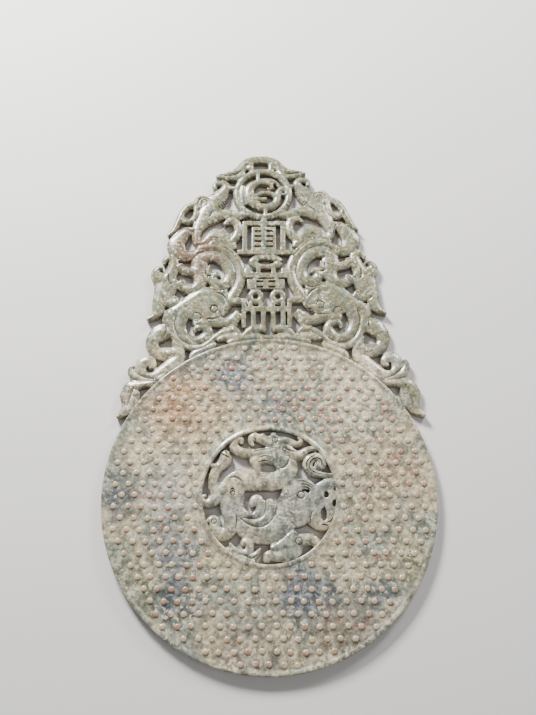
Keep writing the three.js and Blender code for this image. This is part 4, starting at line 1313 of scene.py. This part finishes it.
@dataclass(frozen=True)
class Nephrite:
    """Nephrite jade, hand polished and buried for long.

    The stone is pale grey with clouds of slate blue, cream, tan and olive, greener in the crest.
    A few of the clouds are painted light, lighter at the top and darker towards the bottom, and the
    crest's colours are darker as painted shade. Burial has etched pale flecks in it, left red
    cinnabar, a red-brown skin on the grains and soil in the recesses, deepened there with painted
    shade; the ridges carry pale wear and a painted highlight. The surface keeps the waxy gloss of
    hand polishing.
    """

    name: str = "polished nephrite"
    cream: str = "#C4B797"
    grey: str = "#949889"
    # the crest's colours: greener stone, darker than the disc's as painted shade
    crest_cream: str = "#A39B75"
    crest_green: str = "#566150"
    # pale flecks, also used as the painted highlight on the ridges
    fleck_and_highlight: str = "#E6DDBC"
    shade: str = "#59665E"
    cinnabar: str = "#A14B38"
    grain_top: str = "#D2BA98"
    skin: str = "#9A6350"
    # soil in the hollows, also used as painted shade on low walls and in creases
    earth_and_shade: str = "#4E3226"
    ior: float = 1.61
    cloud_size: float = 22 * MM
    mottle_size: float = 5 * MM
    fleck_size: float = 1.8 * MM
    pit_size: float = 0.9 * MM
    warp_size: float = 15 * MM
    warp_reach: float = 26 * MM  # how far the clouds' edges stray
    field_edges: tuple[float, float] = (42.5, 97.5)  # modules: the grained field's two radii
    slab: Slab = SLAB

    def build(self) -> bpy.types.Material:
        """Makes the material.

        Returns:
            The material, which reads Object coordinates.
        """
        material = bpy.data.materials.new(self.name)
        material.use_nodes = True
        tree = material.node_tree
        tree.nodes.clear()
        paint = Paint(tree, add(tree, "ShaderNodeTexCoord").outputs["Object"])
        colour = self.clouds(paint, self.ground(paint))
        colour = self.mottling(paint, colour)
        colour = self.specks(paint, colour)
        colour = self.grain_skin(paint, colour)
        colour = self.recesses(paint, colour)
        rough = paint.spread(paint.noise(4 * MM, 6), 0.36, 0.64, 0.16, 0.42)
        shader = add(
            tree,
            "ShaderNodeBsdfPrincipled",
            {"IOR": self.ior, "Subsurface Weight": 0.1, "Subsurface Radius": (0.9, 1.0, 0.7),
             "Subsurface Scale": 1.5 * MM, "Coat Weight": 0.5, "Coat Roughness": 0.1},
            {"Base Color": colour, "Roughness": rough, "Normal": self.bumps(paint)},
        )
        output = add(tree, "ShaderNodeOutputMaterial", {}, {"Surface": shader.outputs["BSDF"]})
        output.is_active_output = True
        return material

    def ground(self, paint: Paint) -> bpy.types.NodeSocket:
        """Mixes the stone's colours: cream and grey, greener in the crest and darker there as painted shade.

        Args:
            paint: The material's nodes.

        Returns:
            The colour.
        """
        slow = paint.spread(paint.noise(self.cloud_size, 5), 0.4, 0.6)
        fine = paint.spread(paint.noise(self.mottle_size, 6), 0.4, 0.6)
        disc = paint.blend({6: linear(self.cream), 7: linear(self.grey)}, {0: slow})
        # greener stone in the crest, darkened as painted shade
        crest = paint.blend({6: linear(self.crest_cream), 7: linear(self.crest_green)}, {0: fine})
        along = paint.part("Y")
        rim = self.slab.centre_y + self.slab.disc_radius
        in_crest = paint.spread(along, rim - 14 * MM, rim + 6 * MM, 0.0, 0.85)
        return paint.blend({}, {0: in_crest, 6: disc, 7: crest})

    def mottling(self, paint: Paint, base: bpy.types.NodeSocket) -> bpy.types.NodeSocket:
        """Breaks the colour up: lighter and darker cloudlets, etched pale flecks and dark veins.

        Args:
            paint: The material's nodes.
            base: The colour so far.

        Returns:
            The colour.
        """
        blotch = paint.noise(self.mottle_size, 8)
        value = paint.spread(blotch, 0.36, 0.64, 0.52, 1.34)
        grit = paint.noise(0.35 * self.mottle_size, 5)
        value = paint.times(value, paint.spread(grit, 0.36, 0.64, 0.66, 1.3))
        base = add(paint.tree, "ShaderNodeHueSaturation", {}, {"Value": value, "Color": base}).outputs[0]
        vein_noise = paint.noise(9 * MM, 9)
        veins = paint.spread(vein_noise, 0.54, 0.68, 0.0, 0.55)
        base = paint.mix(veins, base, self.shade)
        etched = paint.spread(paint.noise(17 * MM, 3), 0.4, 0.6, 0.25, 1.0)
        flecks = paint.spread(paint.noise(self.fleck_size, 6), 0.54, 0.61, 0.0, 0.85)
        return paint.mix(paint.times(etched, flecks), base, self.fleck_and_highlight)

    def field(self, paint: Paint) -> bpy.types.NodeSocket:
        """Finds the disc's grained field.

        Args:
            paint: The material's nodes.

        Returns:
            A value that is 1 in the field and 0 outside it.
        """
        flat = paint.vector("MULTIPLY", {1: (1, 1, 0)}, {0: paint.place})
        centre = self.slab.at(0, 0)
        away = paint.vector("DISTANCE", {1: centre}, {0: flat}, "Value")
        inner, outer = (edge * self.slab.module for edge in self.field_edges)
        beyond = paint.spread(away, inner, inner + MM)
        return paint.times(beyond, paint.spread(away, outer - MM, outer, 1.0, 0.0))

    def grain_skin(self, paint: Paint, base: bpy.types.NodeSocket) -> bpy.types.NodeSocket:
        """Leaves a red-brown skin on the grains, in patches.

        Args:
            paint: The material's nodes.
            base: The colour so far.

        Returns:
            The colour.
        """
        up = paint.part("Z")
        field_height = Disc().field_height
        share = paint.spread(up, field_height + 0.06 * MM, field_height + 0.35 * MM, 0.0, 0.75)
        share = paint.times(share, self.field(paint))
        base = paint.mix(share, base, self.grain_top)
        patchy = paint.spread(paint.noise(14 * MM, 5), 0.5, 0.62, 0.0, 0.8)
        return paint.mix(paint.times(share, patchy), base, self.skin)

    def clouds(self, paint: Paint, base: bpy.types.NodeSocket) -> bpy.types.NodeSocket:
        """Lays the stone's clouds and the painted light among them, with edges bent by a slow noise, over its
        ground colour.

        Args:
            paint: The material's nodes.
            base: The colour so far.

        Returns:
            The colour.
        """
        warp = paint.noise(self.warp_size, 9, "Color")
        centred = paint.vector("SUBTRACT", {1: (0.5,) * 3}, {0: warp})
        drift = paint.vector("SCALE", {"Scale": self.warp_reach}, {0: centred})
        bent = paint.vector("ADD", {}, {0: paint.place, 1: drift})
        for cloud in CLOUDS_AND_PAINTED_LIGHT:
            centre = self.slab.at(cloud.x, cloud.y, self.slab.openwork_thickness)
            away = paint.vector("DISTANCE", {1: centre}, {0: bent}, "Value")
            reach = cloud.radius * self.slab.module
            share = paint.spread(away, 0.15 * reach, reach, cloud.strength, 0.0)
            base = paint.mix(share, base, cloud.colour)
        return base

    def specks(self, paint: Paint, base: bpy.types.NodeSocket) -> bpy.types.NodeSocket:
        """Scatters cinnabar specks in loose groups.

        Args:
            paint: The material's nodes.
            base: The colour so far.

        Returns:
            The colour.
        """
        along = paint.part("Y")
        rim = self.slab.centre_y + self.slab.disc_radius
        groups = paint.spread(paint.noise(24 * MM, 3), 0.56, 0.64)
        groups = paint.times(groups, paint.spread(along, rim - 12 * MM, rim, 1.0, 0.0))
        groups = paint.times(groups, self.field(paint))
        fine = paint.spread(paint.noise(2.6 * MM, 6), 0.52, 0.66, 0.0, 0.75)
        return paint.mix(paint.times(groups, fine), base, self.cinnabar)

    def recesses(self, paint: Paint, base: bpy.types.NodeSocket) -> bpy.types.NodeSocket:
        """Darkens the low walls and the bottoms of carved lines with buried soil colour and painted shade,
        and lightens the ridges with pale wear and a painted highlight.

        Args:
            paint: The material's nodes.
            base: The colour so far.

        Returns:
            The colour.
        """
        up = paint.part("Z")
        # partly soil, partly painted shade: the lower a wall, the darker and browner
        low = paint.spread(up, 2.6 * MM, 4.5 * MM, 0.9, 0.0)
        patchy = paint.spread(paint.noise(6 * MM, 5), 0.35, 0.6, 0.4, 1.0)
        base = paint.mix(paint.times(low, patchy), base, self.earth_and_shade)
        hollow = add(paint.tree, "ShaderNodeNewGeometry").outputs["Pointiness"]
        carved = paint.times(self.field(paint), -1.0)
        carved = add(paint.tree, "ShaderNodeMath", {"operation": "ADD", 1: 1.0}, {0: carved}).outputs[0]
        # partly soil in the carved lines, partly painted shade: the more hollow a place, the darker
        packed_earth_and_shade = paint.times(paint.spread(hollow, 0.41, 0.493, 0.9, 0.0), carved)
        base = paint.mix(paint.times(packed_earth_and_shade, patchy), base, self.earth_and_shade)
        # partly pale wear, partly a painted highlight: the more a ridge stands out, the paler
        worn = paint.times(paint.spread(hollow, 0.52, 0.6, 0.0, 0.35), carved)
        return paint.mix(worn, base, self.fleck_and_highlight)

    def bumps(self, paint: Paint) -> bpy.types.NodeSocket:
        """Adds the soft waves of hand polishing and small etched pits.

        Args:
            paint: The material's nodes.

        Returns:
            The normal.
        """
        waves = paint.noise(5 * MM, 3)
        soft = add(paint.tree, "ShaderNodeBump", {"Strength": 0.25, "Distance": 0.35 * MM}, {"Height": waves})
        pits = paint.spread(paint.noise(self.pit_size, 4), 0.32, 0.5)
        settings = {"Strength": 0.3, "Distance": 0.08 * MM}
        links = {"Height": pits, "Normal": soft.outputs[0]}
        return add(paint.tree, "ShaderNodeBump", settings, links).outputs[0]


def add(
    tree: bpy.types.NodeTree,
    kind: str,
    settings: Optional[dict] = None,
    links: Optional[dict] = None,
) -> bpy.types.Node:
    """Adds a node, sets it up and links it.

    Args:
        tree: The node tree.
        kind: The node's type.
        settings: Attributes by name, and inputs by index or name.
        links: Sockets by the input's index or name.

    Returns:
        The node.
    """
    node = tree.nodes.new(kind)
    chosen = settings or {}
    for key, value in chosen.items():
        if isinstance(key, str) and hasattr(node, key):
            setattr(node, key, value)
    for key, value in chosen.items():
        if not (isinstance(key, str) and hasattr(node, key)):
            node.inputs[key].default_value = value
    for key, socket in (links or {}).items():
        tree.links.new(socket, node.inputs[key])
    return node


# ---------------------------------------------------------------- studio


@dataclass
class Studio:
    """A pale floor, soft lamps and the camera, which looks down at the carving where it lies."""

    lens: float = 38.5
    sensor: float = 36.0
    camera_offset: Point = (-0.008, -0.801, 4.543)  # from the disc's face, in disc radii
    view: Point = (0.0, 0.3453, -0.9385)
    floor_colour: str = "#F4F2EE"
    world_colour: str = "#F2F3F5"
    world_strength: float = 0.18
    lamps: tuple[tuple[str, Point, float, float], ...] = (  # name, place, side in metres, watts
        ("key", (-0.32, 0.56, 0.42), 0.2, 13.5),
        ("edge", (0.44, 0.56, 0.4), 0.2, 3.8),
        ("fill", (0.7, -0.4, 0.9), 0.9, 2.2),
    )
    slab: Slab = SLAB

    def floor(self) -> bpy.types.Object:
        """Lays the floor."""
        bm = bmesh.new()
        bmesh.ops.create_grid(bm, x_segments=1, y_segments=1, size=3.0)
        floor = mesh_object("floor", bm)
        bpy.context.scene.collection.objects.link(floor)
        material = bpy.data.materials.new("matt paper")
        material.use_nodes = True
        shader = material.node_tree.nodes["Principled BSDF"]
        shader.inputs["Base Color"].default_value = linear(self.floor_colour)
        shader.inputs["Roughness"].default_value = 0.9
        floor.data.materials.append(material)
        return floor

    def lamp(self, name: str, place: Point, size: float, power: float) -> None:
        """Hangs a square soft lamp that points at the carving.

        Args:
            name: The lamp's name.
            place: Where it hangs, in metres.
            size: Its side.
            power: Its power in watts.
        """
        data = bpy.data.lights.new(name, "AREA")
        data.size = size
        data.energy = power
        lamp = bpy.data.objects.new(name, data)
        lamp.location = place
        lamp.rotation_euler = (-Vector(place)).to_track_quat("-Z", "Y").to_euler()
        bpy.context.scene.collection.objects.link(lamp)

    def camera(self) -> None:
        """Sets up the camera."""
        data = bpy.data.cameras.new("camera")
        data.lens = self.lens
        data.sensor_width = self.sensor
        data.clip_start = 0.01
        camera = bpy.data.objects.new("camera", data)
        face = self.slab.at(0, 0, self.slab.disc_thickness)
        camera.location = face + Vector(self.camera_offset) * self.slab.disc_radius
        camera.rotation_euler = Vector(self.view).to_track_quat("-Z", "Y").to_euler()
        bpy.context.scene.collection.objects.link(camera)
        bpy.context.scene.camera = camera

    def build(self) -> bpy.types.Object:
        """Builds the studio.

        Returns:
            The floor.
        """
        for lamp in self.lamps:
            self.lamp(*lamp)
        world = bpy.data.worlds.new("studio")
        bpy.context.scene.world = world
        world.use_nodes = True
        background = world.node_tree.nodes["Background"]
        background.inputs["Color"].default_value = linear(self.world_colour)
        background.inputs["Strength"].default_value = self.world_strength
        self.camera()
        return self.floor()


# ---------------------------------------------------------------- the whole


def main() -> None:
    """Builds the carving, dresses it and sets up the studio."""
    logging.basicConfig(level=logging.INFO, format="%(name)s: %(message)s")
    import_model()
    disc, grains = Disc(), Grains()
    forms = [HoleDragon(), Crest(), Column()]
    masses = [solid for form in forms for solid in form.masses()]
    folds = [solid for form in forms for solid in form.folds()]
    engraving = [solid for form in forms for solid in form.engraving()]
    LOG.info("%d masses, %d folds, %d engraved", len(masses), len(folds), len(engraving))
    raised = grains.solids(disc.field_height)
    piece = Carving().carve(disc.build(), masses, folds, engraving, raised)
    triangles = sum(len(face.vertices) - 2 for face in piece.data.polygons)
    LOG.info("%s: %d triangles", piece.name, triangles)
    piece.data.materials.clear()
    piece.data.materials.append(Nephrite().build())
    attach(piece, "root")
    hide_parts("jade_bi_disc")
    Studio().build()


if __name__ == "__main__":
    main()
